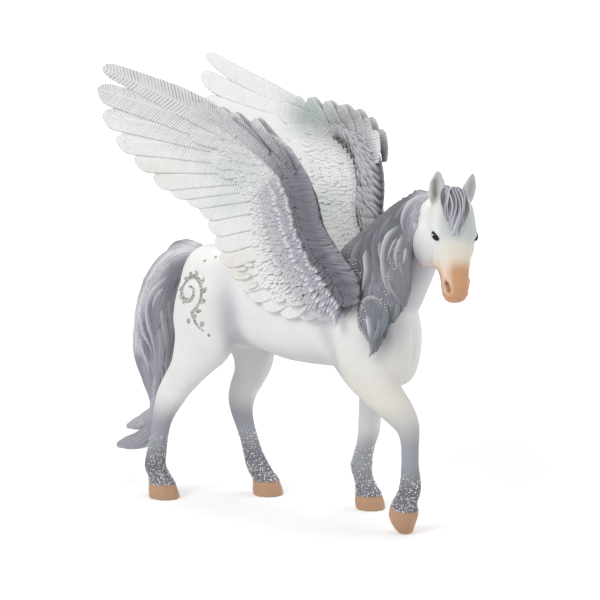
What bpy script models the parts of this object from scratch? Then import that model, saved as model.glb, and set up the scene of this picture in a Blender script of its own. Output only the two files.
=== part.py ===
"""A standing winged horse figurine, a hand-size solid moulding with two glued-on wings.

Blender script, metres, +Z up. +X is the way the horse faces, +Y its left side, and the hooves
stand on Z = 0. The horse is one moulding with its mane, forelock and tail. Each wing is a
moulding of its own, whose root is hollowed to sit on the shoulder with a thin glue line.
The tables of sections are in millimetres and are measured from a point between the hooves;
at the end the figure is moved so that the middle of its base is the origin.
"""

import bpy
import numpy as np

MM = 0.001

SHARP_EDGE = np.radians(50.0)

# Driving sizes of the horse, in millimetres: places along X, then heights, then widths
HIP = -18.0
SHOULDER = 29.0
DOCK = 15.0
TAIL_SWEEP = 37.0
WITHERS_HEIGHT = 83.0
CROUP_HEIGHT = 79.5
BACK_HEIGHT = 76.5
BELLY_HEIGHT = 46.5
CHEST_HALF_WIDTH = 12.6
BARREL_HALF_WIDTH = 14.2
HAUNCH_HALF_WIDTH = 13.4
POLL = (64.9, -6.2, 103.4)
HEAD_LENGTH = 31.6
HEAD_TURN = np.radians(-33.0)
HEAD_TILT = np.radians(16.0)
HEAD_ROLL = np.radians(3.5)
EAR_LENGTH = 9.8
EAR_HALF_WIDTH = 2.5
EYE_RADIUS = 2.3
EYE_SHARE = 0.335
EYE_OUT = 1.6
EYE_SPREAD = 5.1
CANNON_RADIUS = 2.85
HOOF_RADIUS = 4.7
STANCE_HALF_WIDTH = 11.5
LOCK_THICKNESS = 3.2
TAIL_THICKNESS = 4.4

# Driving sizes of a wing, in millimetres
WING_SHOULDER = (32.4, 74.6)
WING_WRIST = (15.0, 109.6)
PRIMARY_LENGTH = 66.4
WING_ROOT_SPREAD = 15.2
WING_LEAN = 6.0
WING_LEAN_FROM, WING_LEAN_TO = 84.0, 120.0
WING_FLARE = 0.075
WING_FLARE_FROM = 0.0
FEATHER_THICKNESS = 2.3
FEATHER_CURVE = 0.015
COVERT_LIFT = 0.9
ARM_THICKNESS = 6.0
LEFT_WING_DIP = 2.8
ROOT_PAD_OFFSET = (-7.4, -3.6)
ROOT_PAD_REACH = 6.0
ROOT_PAD_HALF_LENGTH = 10.5
ROOT_PAD_HALF_HEIGHT = 7.6
GLUE_LINE = 0.32

# Sampling of the moulded surfaces, in millimetres and faces
HORSE_VOXEL = 0.62
WING_VOXEL = 0.5
HORSE_FACES = 6300
WING_FACES = 2600
SOLE_ALLOWANCE = 0.8
ARM_SECTIONS = 41

UP = np.array([0.0, 0.0, 1.0])
LEFT = np.array([0.0, 1.0, 0.0])


def unit(vectors):
    """Each vector divided by its length."""
    vectors = np.asarray(vectors, dtype=float)
    return vectors / np.linalg.norm(vectors, axis=-1, keepdims=True)


def smooth_rows(table, count):
    """A smooth curve through the table's rows, read at count evenly spaced places.

    Cubic between neighbouring rows, with the slope at a row taken across its two neighbours.
    """
    rows = np.asarray(table, dtype=float)
    steps = np.linalg.norm(np.diff(rows[:, :3], axis=0), axis=1)
    at = np.concatenate([[0.0], np.cumsum(steps)])
    slopes = np.gradient(rows, at, axis=0)
    want = np.linspace(0.0, at[-1], count)
    left = np.clip(np.searchsorted(at, want, side="right") - 1, 0, len(at) - 2)
    span = (at[left + 1] - at[left])[:, None]
    t = (want[:, None] - at[left][:, None]) / span
    start = (1 + 2 * t) * (1 - t) ** 2 * rows[left] + t * (1 - t) ** 2 * span * slopes[left]
    end = t * t * (3 - 2 * t) * rows[left + 1] + t * t * (t - 1) * span * slopes[left + 1]
    return start + end


def loft(centres, a_axes, b_axes, radii, sides=24, power=2.0):
    """A closed skin over cross sections.

    A section is a rounded oval with four radii, towards +a, -a, +b and -b, and its power
    makes it squarer than an ellipse above 2. Returns its corners and faces.
    """
    angle = np.linspace(0.0, 2 * np.pi, sides, endpoint=False)
    cos, sin = np.cos(angle), np.sin(angle)
    along_a = np.sign(cos) * np.abs(cos) ** (2 / power)
    along_b = np.sign(sin) * np.abs(sin) ** (2 / power)
    radii = np.asarray(radii, dtype=float)
    a_size = np.where(cos >= 0, radii[:, :1], radii[:, 1:2])
    b_size = np.where(sin >= 0, radii[:, 2:3], radii[:, 3:4])
    rings = (
        np.asarray(centres)[:, None, :]
        + a_axes[:, None, :] * (along_a * a_size)[:, :, None]
        + b_axes[:, None, :] * (along_b * b_size)[:, :, None]
    )
    corners = rings.reshape(-1, 3)
    faces = []
    for ring in range(len(rings) - 1):
        for side in range(sides):
            following = (side + 1) % sides
            faces.append((
                ring * sides + side,
                ring * sides + following,
                (ring + 1) * sides + following,
                (ring + 1) * sides + side,
            ))
    last = (len(rings) - 1) * sides
    faces.append(tuple(range(sides - 1, -1, -1)))
    faces.append(tuple(range(last, last + sides)))
    return corners, faces


def joined(shapes):
    """Several skins as one list of corners and one of faces."""
    corners, faces, first = [], [], 0
    for shape_corners, shape_faces in shapes:
        corners.append(shape_corners)
        faces += [tuple(first + corner for corner in face) for face in shape_faces]
        first += len(shape_corners)
    return np.concatenate(corners), faces


def mirrored(shape):
    """The skin on the other side of the plane Y = 0, its faces turned to point outwards."""
    corners, faces = shape
    return corners * np.array([1.0, -1.0, 1.0]), [tuple(reversed(face)) for face in faces]


def tangents(points):
    """The direction of the path at each of its points."""
    return unit(np.gradient(np.asarray(points), axis=0))


BARREL = SHOULDER - HIP


def trunk():
    """Barrel, chest and haunches, as sections across X: place, top, bottom, widest, half width."""
    table = [
        (HIP - 20.6, CROUP_HEIGHT - 9.5, 59.0, 65.0, 2.5),
        (HIP - 18.8, CROUP_HEIGHT - 4.3, 53.0, 64.5, 7.0),
        (HIP - 15.0, CROUP_HEIGHT - 0.7, 49.0, 64.0, 10.4),
        (HIP - 9.0, CROUP_HEIGHT + 0.3, 47.5, 63.5, HAUNCH_HALF_WIDTH - 0.8),
        (HIP, CROUP_HEIGHT, 48.5, 63.0, HAUNCH_HALF_WIDTH),
        (HIP + 0.22 * BARREL, BACK_HEIGHT + 1.2, 48.8, 62.5, BARREL_HALF_WIDTH - 0.8),
        (HIP + 0.45 * BARREL, BACK_HEIGHT, BELLY_HEIGHT + 0.3, 62.0, BARREL_HALF_WIDTH),
        (HIP + 0.66 * BARREL, BACK_HEIGHT + 1.8, BELLY_HEIGHT, 62.0, BARREL_HALF_WIDTH - 0.2),
        (HIP + 0.85 * BARREL, WITHERS_HEIGHT - 1.0, BELLY_HEIGHT, 62.5, CHEST_HALF_WIDTH + 0.6),
        (SHOULDER, WITHERS_HEIGHT, BELLY_HEIGHT - 2.0, 62.5, CHEST_HALF_WIDTH),
        (SHOULDER + 7.0, WITHERS_HEIGHT - 3.0, BELLY_HEIGHT - 4.0, 61.0, CHEST_HALF_WIDTH - 0.4),
        (SHOULDER + 13.0, WITHERS_HEIGHT - 11.0, BELLY_HEIGHT - 3.5, 58.5, CHEST_HALF_WIDTH - 2.4),
        (SHOULDER + 17.0, 65.5, BELLY_HEIGHT, 57.0, 6.0),
        (SHOULDER + 18.2, 61.5, 51.0, 56.5, 2.5),
    ]
    rows = smooth_rows([(x, 0.0, 0.0, top, low, wide, half) for x, top, low, wide, half in table], 44)
    top, low, wide, half = rows[:, 3], rows[:, 4], rows[:, 5], rows[:, 6]
    centres = np.stack([rows[:, 0], np.zeros_like(top), wide], 1)
    count = len(rows)
    radii = np.stack([top - wide, wide - low, half, half], 1)
    return loft(centres, np.tile(UP, (count, 1)), np.tile(LEFT, (count, 1)), radii, 32, 2.15)


def neck():
    """Neck, as sections across its path: place, reach to the crest, to the throat, half width."""
    poll_x, poll_y, poll_z = POLL
    table = [
        (SHOULDER - 1.0, 0.0, WITHERS_HEIGHT - 17.0, 15.0, 15.0, 11.0),
        (SHOULDER + 6.0, 0.0, WITHERS_HEIGHT - 10.0, 15.4, 14.5, 10.4),
        (SHOULDER + 12.5, -0.6, WITHERS_HEIGHT - 2.5, 13.6, 12.6, 8.6),
        (poll_x - 17.4, poll_y + 4.6, poll_z - 15.9, 11.4, 10.8, 7.2),
        (poll_x - 11.9, poll_y + 3.0, poll_z - 10.4, 9.2, 9.2, 6.2),
        (poll_x - 5.4, poll_y + 1.6, poll_z - 7.0, 7.4, 7.8, 5.6),
        (poll_x - 2.0, poll_y + 0.4, poll_z - 4.6, 4.6, 5.6, 4.8),
    ]
    rows = smooth_rows(table, 26)
    path = tangents(rows[:, :3])
    crest = unit(np.cross(path, LEFT))
    side = unit(np.cross(crest, path))
    radii = np.stack([rows[:, 3], rows[:, 4], rows[:, 5], rows[:, 5]], 1)
    return loft(rows[:, :3], crest, side, radii, 28, 2.1)


HEAD_HEADING = np.array([np.cos(HEAD_TURN), np.sin(HEAD_TURN), 0.0])
FACE_OUT = HEAD_HEADING * np.cos(HEAD_TILT) + UP * np.sin(HEAD_TILT)
LEVEL_DOWN = HEAD_HEADING * np.sin(HEAD_TILT) - UP * np.cos(HEAD_TILT)
LEVEL_LEFT = np.cross(UP, HEAD_HEADING)
FACE_DOWN = LEVEL_DOWN * np.cos(HEAD_ROLL) - LEVEL_LEFT * np.sin(HEAD_ROLL)
HEAD_LEFT = LEVEL_LEFT * np.cos(HEAD_ROLL) + LEVEL_DOWN * np.sin(HEAD_ROLL)


def head_point(down, out, left):
    """A point of the head, from the poll: down the face, out of the face, to its left."""
    return np.array(POLL) + FACE_DOWN * down + FACE_OUT * out + HEAD_LEFT * left


def head():
    """Skull, cheeks and muzzle: share of the head's length, face, jaw, half width."""
    table = [
        (-0.04, 0.6, 2.6, 2.4),
        (0.00, 2.2, 5.0, 4.6),
        (0.08, 4.0, 7.4, 6.2),
        (0.20, 5.2, 9.6, 7.2),
        (0.32, 5.6, 11.2, 7.6),
        (0.42, 5.2, 12.0, 6.9),
        (0.52, 4.6, 11.6, 6.1),
        (0.62, 4.2, 9.2, 5.2),
        (0.72, 4.1, 6.6, 4.3),
        (0.82, 4.5, 5.4, 4.1),
        (0.90, 4.8, 5.2, 4.3),
        (0.97, 4.0, 4.6, 3.9),
        (1.00, 2.6, 3.2, 2.6),
    ]
    rows = np.array([(HEAD_LENGTH * share, 0.0, 0.0, out, jaw, half) for share, out, jaw, half in table])
    rows = smooth_rows(rows, 34)
    centres = np.array(POLL) + FACE_DOWN * rows[:, :1]
    count = len(rows)
    radii = rows[:, [3, 4, 5, 5]]
    return loft(centres, np.tile(FACE_OUT, (count, 1)), np.tile(HEAD_LEFT, (count, 1)), radii, 28, 2.15)


def ear(side):
    """A leaf-shaped ear, which stands on the poll and opens forwards; side is 1 or -1."""
    share = np.linspace(0.0, 1.0, 12)
    lean = unit(UP * 1.0 + HEAD_LEFT * 0.10 * side + HEAD_HEADING * 0.10)
    root = head_point(1.6, -1.0, 4.6 * side)
    centres = root + lean * (share * EAR_LENGTH)[:, None]
    width = EAR_HALF_WIDTH * np.sin(np.pi * np.clip(0.20 + 0.80 * share, 0, 1)) ** 0.8 + 0.35
    depth = np.interp(share, [0.0, 0.4, 1.0], [1.9, 1.3, 0.6])
    count = len(share)
    radii = np.stack([depth, depth, width, width], 1)
    out = unit(HEAD_HEADING + HEAD_LEFT * 0.35 * side)
    across = unit(np.cross(lean, out))
    return loft(centres, np.tile(out, (count, 1)), np.tile(across, (count, 1)), radii, 16)


def eyeball(side):
    """The bulge of one eye and its lids; side is 1 or -1."""
    share = np.linspace(-0.999, 0.999, 9)
    centre = head_point(HEAD_LENGTH * EYE_SHARE, EYE_OUT, EYE_SPREAD * side)
    centres = centre + FACE_DOWN * (share * EYE_RADIUS)[:, None]
    size = EYE_RADIUS * np.sqrt(1 - share**2)
    radii = np.stack([size, size, size, size], 1)
    count = len(share)
    return loft(centres, np.tile(FACE_OUT, (count, 1)), np.tile(HEAD_LEFT, (count, 1)), radii, 16)


# Legs, from the top down: place fore or aft of the hip or the shoulder, height,
# half depth fore and aft, half width.
# Below the fetlock come the pastern, the top edge of the hoof and its sole.
NEAR_HIND = [
    (-4.0, 66.0, 11.5, 6.0), (-5.0, 58.0, 11.4, 6.2), (-5.8, 50.5, 11.0, 5.8),
    (-8.2, 45.0, 9.0, 5.1), (-11.3, 40.3, 7.3, 4.5), (-15.6, 35.6, 6.3, 3.8),
    (-18.2, 31.4, 5.4, 3.4), (-19.7, 28.0, 4.3, 3.1), (-21.0, 24.7, 3.5, CANNON_RADIUS),
    (-22.2, 18.2, 3.0, CANNON_RADIUS - 0.2), (-23.2, 12.4, 3.4, CANNON_RADIUS + 0.1),
    (-23.4, 9.6, 3.5, 3.1), (-22.2, 7.6, 3.3, 3.0), (-21.2, 5.6, 3.8, 3.5),
    (-20.6, 4.2, HOOF_RADIUS - 0.3, HOOF_RADIUS - 0.7), (-20.2, 2.6, HOOF_RADIUS, HOOF_RADIUS - 0.4),
    (-19.6, -SOLE_ALLOWANCE, HOOF_RADIUS + 0.4, HOOF_RADIUS),
]
FAR_HIND = [
    (-1.0, 66.0, 11.0, 6.0), (-1.6, 56.0, 10.6, 6.2), (-2.2, 48.0, 8.6, 5.6),
    (-1.9, 42.4, 7.0, 4.9), (-3.2, 37.8, 5.6, 4.2), (-5.8, 32.8, 4.9, 3.7),
    (-6.8, 29.0, 4.6, 3.4), (-6.6, 25.6, 3.8, 3.1), (-5.6, 22.2, 3.3, CANNON_RADIUS),
    (-3.6, 16.6, 3.0, CANNON_RADIUS - 0.2), (-1.7, 11.2, 3.3, CANNON_RADIUS + 0.1),
    (-0.3, 8.5, 3.6, 3.1), (1.4, 6.6, 3.5, 3.0), (2.3, 5.2, 3.9, 3.5),
    (2.9, 4.0, HOOF_RADIUS - 0.3, HOOF_RADIUS - 0.7), (3.3, 2.6, HOOF_RADIUS, HOOF_RADIUS - 0.4),
    (3.8, -SOLE_ALLOWANCE, HOOF_RADIUS + 0.4, HOOF_RADIUS),
]
FAR_FORE = [
    (0.0, 60.0, 10.0, 5.6), (-1.0, 50.0, 8.2, 5.4), (-2.6, 43.0, 5.8, 4.6),
    (-4.0, 36.0, 4.2, 3.8), (-5.2, 30.0, 3.6, 3.4), (-5.8, 25.6, 3.6, 3.3),
    (-6.8, 22.2, 3.2, CANNON_RADIUS), (-8.0, 18.6, 3.0, CANNON_RADIUS - 0.2),
    (-9.0, 15.4, 3.3, CANNON_RADIUS + 0.1), (-9.6, 12.9, 3.6, 3.2), (-9.3, 10.5, 3.0, 2.9),
    (-8.5, 7.8, 3.1, 3.0), (-7.8, 5.8, 3.6, 3.4), (-7.2, 4.2, HOOF_RADIUS - 0.4, HOOF_RADIUS - 0.7),
    (-6.9, 2.8, HOOF_RADIUS - 0.1, HOOF_RADIUS - 0.4),
    (-6.3, -SOLE_ALLOWANCE, HOOF_RADIUS, HOOF_RADIUS - 0.2),
]
NEAR_FORE = [
    (0.0, 60.0, 10.0, 6.0), (3.5, 53.0, 9.6, 6.0), (7.2, 47.6, 8.4, 5.4),
    (10.8, 43.6, 7.0, 4.9), (15.0, 39.6, 5.8, 4.3), (19.0, 35.9, 4.8, 3.9),
    (21.3, 32.6, 3.7, 3.5), (21.9, 29.3, 3.0, 2.9), (22.0, 25.0, 2.8, CANNON_RADIUS - 0.3),
    (22.0, 20.2, 2.9, CANNON_RADIUS - 0.3), (22.1, 16.8, 3.2, CANNON_RADIUS),
    (22.0, 14.0, 3.5, 3.1), (21.0, 11.4, 3.4, 3.0), (20.2, 9.3, 3.8, 3.5),
    (19.8, 7.6, HOOF_RADIUS - 0.3, HOOF_RADIUS - 0.7), (19.5, 5.4, HOOF_RADIUS, HOOF_RADIUS - 0.5),
    (19.6, 3.2, 3.7, 3.8), (20.0, 1.2, 2.7, 3.0), (20.5, -SOLE_ALLOWANCE, 1.9, 2.2),
]


def leg(table, joint_x, top_y, hoof_y):
    """One leg and its hoof, as sections across the leg's path, level with the ground at its foot."""
    rows = np.array([(joint_x + x, 0.0, z, depth, width) for x, z, depth, width in table])
    share = (rows[0, 2] - rows[:, 2]) / (rows[0, 2] - rows[-1, 2])
    rows[:, 1] = top_y + (hoof_y - top_y) * np.clip(share / 0.85, 0, 1)
    rows = smooth_rows(rows, 52)
    path = tangents(rows[:, :3])
    level = np.clip(1 - rows[:, 2:3] / 9.0, 0, 1)
    path = unit(path * (1 - level) - UP * level)
    fore = unit(np.cross(path, LEFT))
    side = unit(np.cross(fore, -path))
    radii = np.stack([rows[:, 3], rows[:, 3], rows[:, 4], rows[:, 4]], 1)
    return loft(rows[:, :3], fore, side, radii, 22, 2.05)


def lock(points, outward, width, thickness):
    """One lock of hair: a flat-oval strand along its path, which narrows to a point."""
    rows = smooth_rows(points, 30)
    share = np.linspace(0.0, 1.0, len(rows))
    path = tangents(rows)
    facing = unit(np.asarray(outward, dtype=float))
    flat = np.tile(facing, (len(rows), 1))
    flat = unit(flat - path * np.sum(flat * path, axis=1, keepdims=True))
    across = np.cross(path, flat)
    swell = np.interp(share, [0.0, 0.12, 0.6, 0.85, 1.0], [0.7, 1.0, 0.95, 0.6, 0.22])
    half_width = 0.5 * width * swell
    half_depth = 0.5 * thickness * (0.35 + 0.65 * swell)
    radii = np.stack([half_depth, half_depth, half_width, half_width], 1)
    return loft(rows, flat, across, radii, 14)


# The mane falls on the horse's right side. Each lock: its path, with X from the shoulder, its width.
MANE_LOCKS = [
    ([(-2.5, -1.0, 83.5), (1.0, -7.0, 79.5), (6.0, -11.5, 75.0), (9.6, -13.2, 70.5),
      (9.4, -13.6, 66.0), (11.0, -14.0, 62.0), (13.5, -13.4, 58.0)], 4.6),
    ([(0.0, -0.6, 87.0), (3.2, -6.0, 83.0), (7.6, -10.4, 78.0), (11.2, -12.8, 73.0),
      (11.4, -13.6, 68.0), (12.6, -14.0, 63.0), (13.6, -13.8, 58.5), (11.6, -13.4, 53.6)], 5.0),
    ([(4.0, -0.6, 90.8), (6.4, -5.6, 86.0), (10.0, -9.6, 80.6), (13.8, -12.2, 75.0),
      (15.0, -13.2, 70.0), (15.2, -13.6, 64.6), (15.4, -12.6, 59.6), (13.6, -12.0, 55.6)], 5.2),
    ([(8.0, -1.0, 94.4), (10.0, -5.6, 89.4), (13.0, -8.8, 83.6), (17.0, -11.2, 78.0),
      (19.0, -12.0, 73.0), (18.2, -12.0, 67.6), (17.0, -11.4, 62.6)], 5.2),
    ([(12.0, -1.6, 97.6), (13.6, -5.8, 92.4), (16.0, -8.6, 86.6), (19.6, -10.6, 81.0),
      (22.4, -11.4, 76.0), (22.2, -11.2, 71.0), (19.8, -10.6, 66.4)], 5.0),
    ([(16.4, -2.4, 100.4), (17.6, -6.2, 95.0), (19.4, -8.8, 89.2), (22.4, -10.2, 83.8),
      (25.4, -10.8, 79.0), (26.2, -10.4, 74.0), (24.2, -9.6, 69.4)], 4.8),
    ([(21.0, -3.6, 102.4), (21.4, -7.4, 97.4), (22.4, -9.6, 91.8), (24.6, -10.6, 86.6),
      (27.0, -10.8, 82.0), (27.6, -10.2, 77.0)], 4.6),
    ([(25.6, -5.0, 103.8), (25.2, -8.8, 99.4), (25.4, -10.8, 94.4), (26.6, -11.6, 89.4),
      (28.6, -11.4, 85.4)], 4.2),
]
MANE_FACING = (-0.20, -1.0, 0.30)

# The forelock falls between the eyes: share of the head's length, out of the face, to its left
FORELOCK = [
    ([(-0.03, -2.0, -1.6), (0.02, 3.2, -2.6), (0.14, 5.4, -3.0), (0.27, 6.2, -2.8)], 2.9),
    ([(-0.04, -2.0, 0.0), (0.02, 3.6, -0.2), (0.16, 5.9, 0.0), (0.34, 6.7, 0.6)], 3.3),
    ([(-0.03, -2.0, 1.6), (0.02, 3.2, 2.6), (0.13, 5.3, 3.2), (0.25, 6.0, 3.2)], 2.9),
]

# The tail's locks on the horse's right; the left ones mirror them. Path, with X as a share of the
# tail's sweep behind its dock, and width.
TAIL_LOCKS = [
    ([(0.000, -0.4, 76.6), (0.135, -1.0, 77.2), (0.335, -1.4, 73.6), (0.541, -1.6, 66.4),
      (0.649, -1.8, 58.8), (0.692, -1.8, 50.6), (0.676, -1.6, 42.0), (0.616, -1.4, 33.4),
      (0.573, -1.2, 26.0), (0.649, -1.0, 20.4), (0.865, -0.8, 15.8)], 4.8),
    ([(0.000, -1.2, 75.8), (0.124, -2.2, 75.6), (0.281, -2.8, 71.8), (0.443, -3.2, 65.4),
      (0.541, -3.2, 58.2), (0.578, -3.0, 50.4), (0.557, -2.8, 42.4), (0.514, -2.4, 34.0),
      (0.503, -2.0, 26.0), (0.546, -1.6, 19.4), (0.708, -1.2, 13.6), (1.000, -0.8, 9.6)], 5.2),
    ([(0.000, -1.6, 75.0), (0.108, -2.8, 74.4), (0.222, -3.4, 70.2), (0.335, -3.6, 63.6),
      (0.411, -3.4, 56.4), (0.443, -3.2, 48.4), (0.438, -2.8, 40.6), (0.443, -2.4, 32.6),
      (0.449, -1.8, 25.0), (0.465, -1.2, 18.6), (0.557, -0.8, 14.0)], 5.0),
    ([(0.016, -1.2, 73.4), (0.086, -1.8, 72.4), (0.178, -2.2, 68.2), (0.259, -2.4, 61.4),
      (0.319, -2.2, 53.8), (0.346, -2.0, 46.2), (0.357, -1.8, 38.8), (0.389, -1.4, 32.0),
      (0.416, -1.0, 27.0)], 4.2),
]
TAIL_FACING = (-0.05, -1.0, 0.05)

# A wing's feathers, from the first primary at its leading edge to the last one on the shoulder:
# place of the root as a share of the arm's length, slope above level in degrees, length as a
# share of the longest primary, and width.
FLIGHT_FEATHERS = [
    (0.490, 19, 0.98, 6.2), (0.478, 13, 1.00, 7.8), (0.467, 7, 0.97, 8.0), (0.455, 1, 0.91, 8.0),
    (0.443, -4, 0.84, 8.0), (0.425, -9, 0.775, 7.8), (0.405, -11, 0.715, 7.6), (0.380, -12, 0.65, 7.6),
    (0.353, -14, 0.60, 7.8), (0.322, -17, 0.58, 8.2), (0.290, -20, 0.56, 8.4), (0.258, -23, 0.545, 8.4),
    (0.228, -25, 0.525, 8.4), (0.200, -28, 0.505, 8.4), (0.174, -31, 0.48, 8.4), (0.150, -36, 0.44, 8.6),
    (0.125, -42, 0.38, 8.8), (0.103, -49, 0.305, 9.0), (0.082, -58, 0.22, 8.6), (0.065, -73, 0.14, 7.6),
]
COVERT_SHARE = 0.46
COVERT_WIDTH_SHARE = 0.9
UNCOVERED_AT_SHOULDER = 2

# The wing's arm: X and height from the wing's shoulder, half width, share of the arm's thickness
UPPER_ARM = [
    (2.2, -6.0, 3.4, 0.80), (0.0, 0.0, 5.6, 0.95), (-3.8, 6.4, 6.4, 1.00), (-7.6, 13.0, 6.4, 1.00),
    (-11.0, 20.6, 6.2, 0.95), (-13.5, 28.0, 5.9, 0.90),
]
# Its hand: X and height from the wrist as shares of the longest primary, then the same
HAND = [
    (0.0, 0.0, 5.4, 0.80), (-0.098, 0.088, 4.6, 0.70), (-0.229, 0.146, 3.6, 0.60),
    (-0.381, 0.207, 2.8, 0.50), (-0.549, 0.271, 2.2, 0.44), (-0.716, 0.335, 1.7, 0.38),
    (-0.869, 0.387, 1.2, 0.34),
]


def wing_spread(x, z):
    """How far the wing's middle surface lies from Y = 0: it leans out upwards and backwards."""
    rise = np.clip((z - WING_LEAN_FROM) / (WING_LEAN_TO - WING_LEAN_FROM), 0, 1)
    lean = WING_LEAN * rise * rise * (3 - 2 * rise)
    return WING_ROOT_SPREAD + lean + WING_FLARE * np.maximum(0, WING_FLARE_FROM - x)


def arm_rows(count):
    """The arm's middle line, half width and share of thickness at evenly spaced places."""
    shoulder_x, shoulder_z = WING_SHOULDER
    wrist_x, wrist_z = WING_WRIST
    table = [(shoulder_x + x, 0.0, shoulder_z + z, half, share) for x, z, half, share in UPPER_ARM]
    for x, z, half, share in HAND:
        table.append((wrist_x + PRIMARY_LENGTH * x, 0.0, wrist_z + PRIMARY_LENGTH * z, half, share))
    table = np.array(table)
    table[:, 1] = -wing_spread(table[:, 0], table[:, 2])
    return smooth_rows(table, count)


def feather_ends(place, slope, share):
    """Root and tip of a flight feather, in X and height."""
    rows = arm_rows(ARM_SECTIONS)
    root = np.array([
        np.interp(place, np.linspace(0, 1, ARM_SECTIONS), rows[:, axis]) for axis in (0, 2)
    ])
    way = np.array([-np.cos(np.radians(slope)), np.sin(np.radians(slope))])
    return root, root + way * share * PRIMARY_LENGTH


def feather(root, tip, width, lift, tilt=0.16):
    """A flat feather on the right wing: it widens from its root and rounds off at its tip.

    Its path bends downwards a little, and it is tilted so that one edge lies over its neighbour.
    """
    share = np.concatenate([np.linspace(0.0, 0.86, 12), [0.92, 0.965, 0.99, 1.0]])
    flat = root + (tip - root) * share[:, None]
    length = np.linalg.norm(tip - root)
    across = np.array([tip[1] - root[1], root[0] - tip[0]]) / length
    sag = FEATHER_CURVE * length * np.sin(np.pi * share)
    flat = flat + across * sag[:, None]
    spread = wing_spread(flat[:, 0], flat[:, 1]) + lift
    centres = np.stack([flat[:, 0], -spread, flat[:, 1]], 1)
    path = tangents(centres)
    facing = unit(np.array([0.0, -1.0, 0.0]) + np.array([across[0], 0.0, across[1]]) * tilt)
    face = np.tile(facing, (len(share), 1))
    face = unit(face - path * np.sum(face * path, axis=1, keepdims=True))
    side = np.cross(path, face)
    rounded = np.sqrt(np.clip(1 - (np.clip(share - 0.80, 0, 1) / 0.21) ** 2, 0.02, 1))
    half_width = 0.5 * width * (0.55 + 0.45 * np.clip(share / 0.45, 0, 1)) * rounded
    half_depth = 0.5 * FEATHER_THICKNESS * (1.05 - 0.35 * share) * np.sqrt(rounded)
    radii = np.stack([half_depth, half_depth, half_width, half_width], 1)
    return loft(centres, face, side, radii, 14, 2.3)


def wing_arm():
    """The fleshy arm along the leading edge."""
    rows = arm_rows(ARM_SECTIONS)
    path = tangents(rows[:, :3])
    face = np.tile([0.0, -1.0, 0.0], (len(rows), 1))
    face = unit(face - path * np.sum(face * path, axis=1, keepdims=True))
    side = np.cross(path, face)
    depth = 0.5 * ARM_THICKNESS * rows[:, 4]
    radii = np.stack([depth, depth, rows[:, 3], rows[:, 3]], 1)
    return loft(rows[:, :3], face, side, radii, 20, 2.1)


def root_pad():
    """The thick part behind the arm, through which the wing is seated on the shoulder."""
    share = np.linspace(-0.995, 0.995, 13)
    x, z = np.array(WING_SHOULDER) + ROOT_PAD_OFFSET
    round_off = np.sqrt(1 - share**2)
    spread = np.full_like(share, WING_ROOT_SPREAD)
    centres = np.stack([x + ROOT_PAD_HALF_LENGTH * share, -spread, np.full_like(share, z)], 1)
    depth_in = ROOT_PAD_REACH * round_off
    depth_out = 0.4 * FEATHER_THICKNESS * round_off
    half_height = ROOT_PAD_HALF_HEIGHT * round_off
    radii = np.stack([depth_in, depth_out, half_height, half_height], 1)
    count = len(share)
    return loft(centres, np.tile(LEFT, (count, 1)), np.tile(UP, (count, 1)), radii, 18)


def dipped(shape):
    """The wing with the middle of its hand a little lower, as the left one was modelled."""
    corners, faces = shape
    wrist_x = WING_WRIST[0]
    along = np.clip((wrist_x - corners[:, 0]) / PRIMARY_LENGTH, 0, 1)
    corners = corners.copy()
    corners[:, 2] -= LEFT_WING_DIP * np.sin(np.pi * along)
    return corners, faces


def right_wing_shapes():
    """All the shapes that the right wing's moulding is made from."""
    shapes = [wing_arm(), root_pad()]
    for number, (place, slope, share, width) in enumerate(FLIGHT_FEATHERS):
        root, tip = feather_ends(place, slope, share)
        shapes.append(feather(root, tip, width, 0.0))
        if 0 < number < len(FLIGHT_FEATHERS) - UNCOVERED_AT_SHOULDER:
            end = root + (tip - root) * COVERT_SHARE
            shapes.append(feather(root, end, width * COVERT_WIDTH_SHARE, COVERT_LIFT))
    return shapes


def horse_shapes():
    """All the shapes that the horse's moulding is made from."""
    shapes = [trunk(), neck(), head()]
    shapes += [ear(1), ear(-1), eyeball(1), eyeball(-1)]
    shapes.append(leg(NEAR_HIND, HIP, -8.0, -STANCE_HALF_WIDTH - 3.0))
    shapes.append(leg(FAR_HIND, HIP, 8.0, STANCE_HALF_WIDTH - 3.0))
    shapes.append(leg(FAR_FORE, SHOULDER, 7.2, STANCE_HALF_WIDTH + 1.0))
    shapes.append(leg(NEAR_FORE, SHOULDER, -7.6, -STANCE_HALF_WIDTH + 5.0))
    for path, width in MANE_LOCKS:
        points = [(SHOULDER + x, y, z) for x, y, z in path]
        shapes.append(lock(points, MANE_FACING, width, LOCK_THICKNESS))
    for path, width in FORELOCK:
        points = [head_point(HEAD_LENGTH * down, out, left) for down, out, left in path]
        shapes.append(lock(points, FACE_OUT, width, LOCK_THICKNESS * 0.8))
    for path, width in TAIL_LOCKS:
        points = [(HIP - DOCK - TAIL_SWEEP * share, y, z) for share, y, z in path]
        near = lock(points, TAIL_FACING, width, TAIL_THICKNESS)
        shapes += [near, mirrored(near)]
    return shapes


def collection(name):
    """A new collection in the scene."""
    made = bpy.data.collections.new(name)
    bpy.context.scene.collection.children.link(made)
    return made


def mesh_object(name, shape, home):
    """An object from corners in millimetres and faces."""
    corners, faces = shape
    mesh = bpy.data.meshes.new(name)
    mesh.from_pydata((corners * MM).tolist(), [], faces)
    mesh.validate()
    made = bpy.data.objects.new(name, mesh)
    home.objects.link(made)
    return made


def evaluated_mesh(item):
    """The object's mesh with its modifiers carried out."""
    graph = bpy.context.evaluated_depsgraph_get()
    return bpy.data.meshes.new_from_object(item.evaluated_get(graph))


def carry_out(item):
    """Puts what the modifiers make into the object's own mesh."""
    done = evaluated_mesh(item)
    item.modifiers.clear()
    item.data = done


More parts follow.
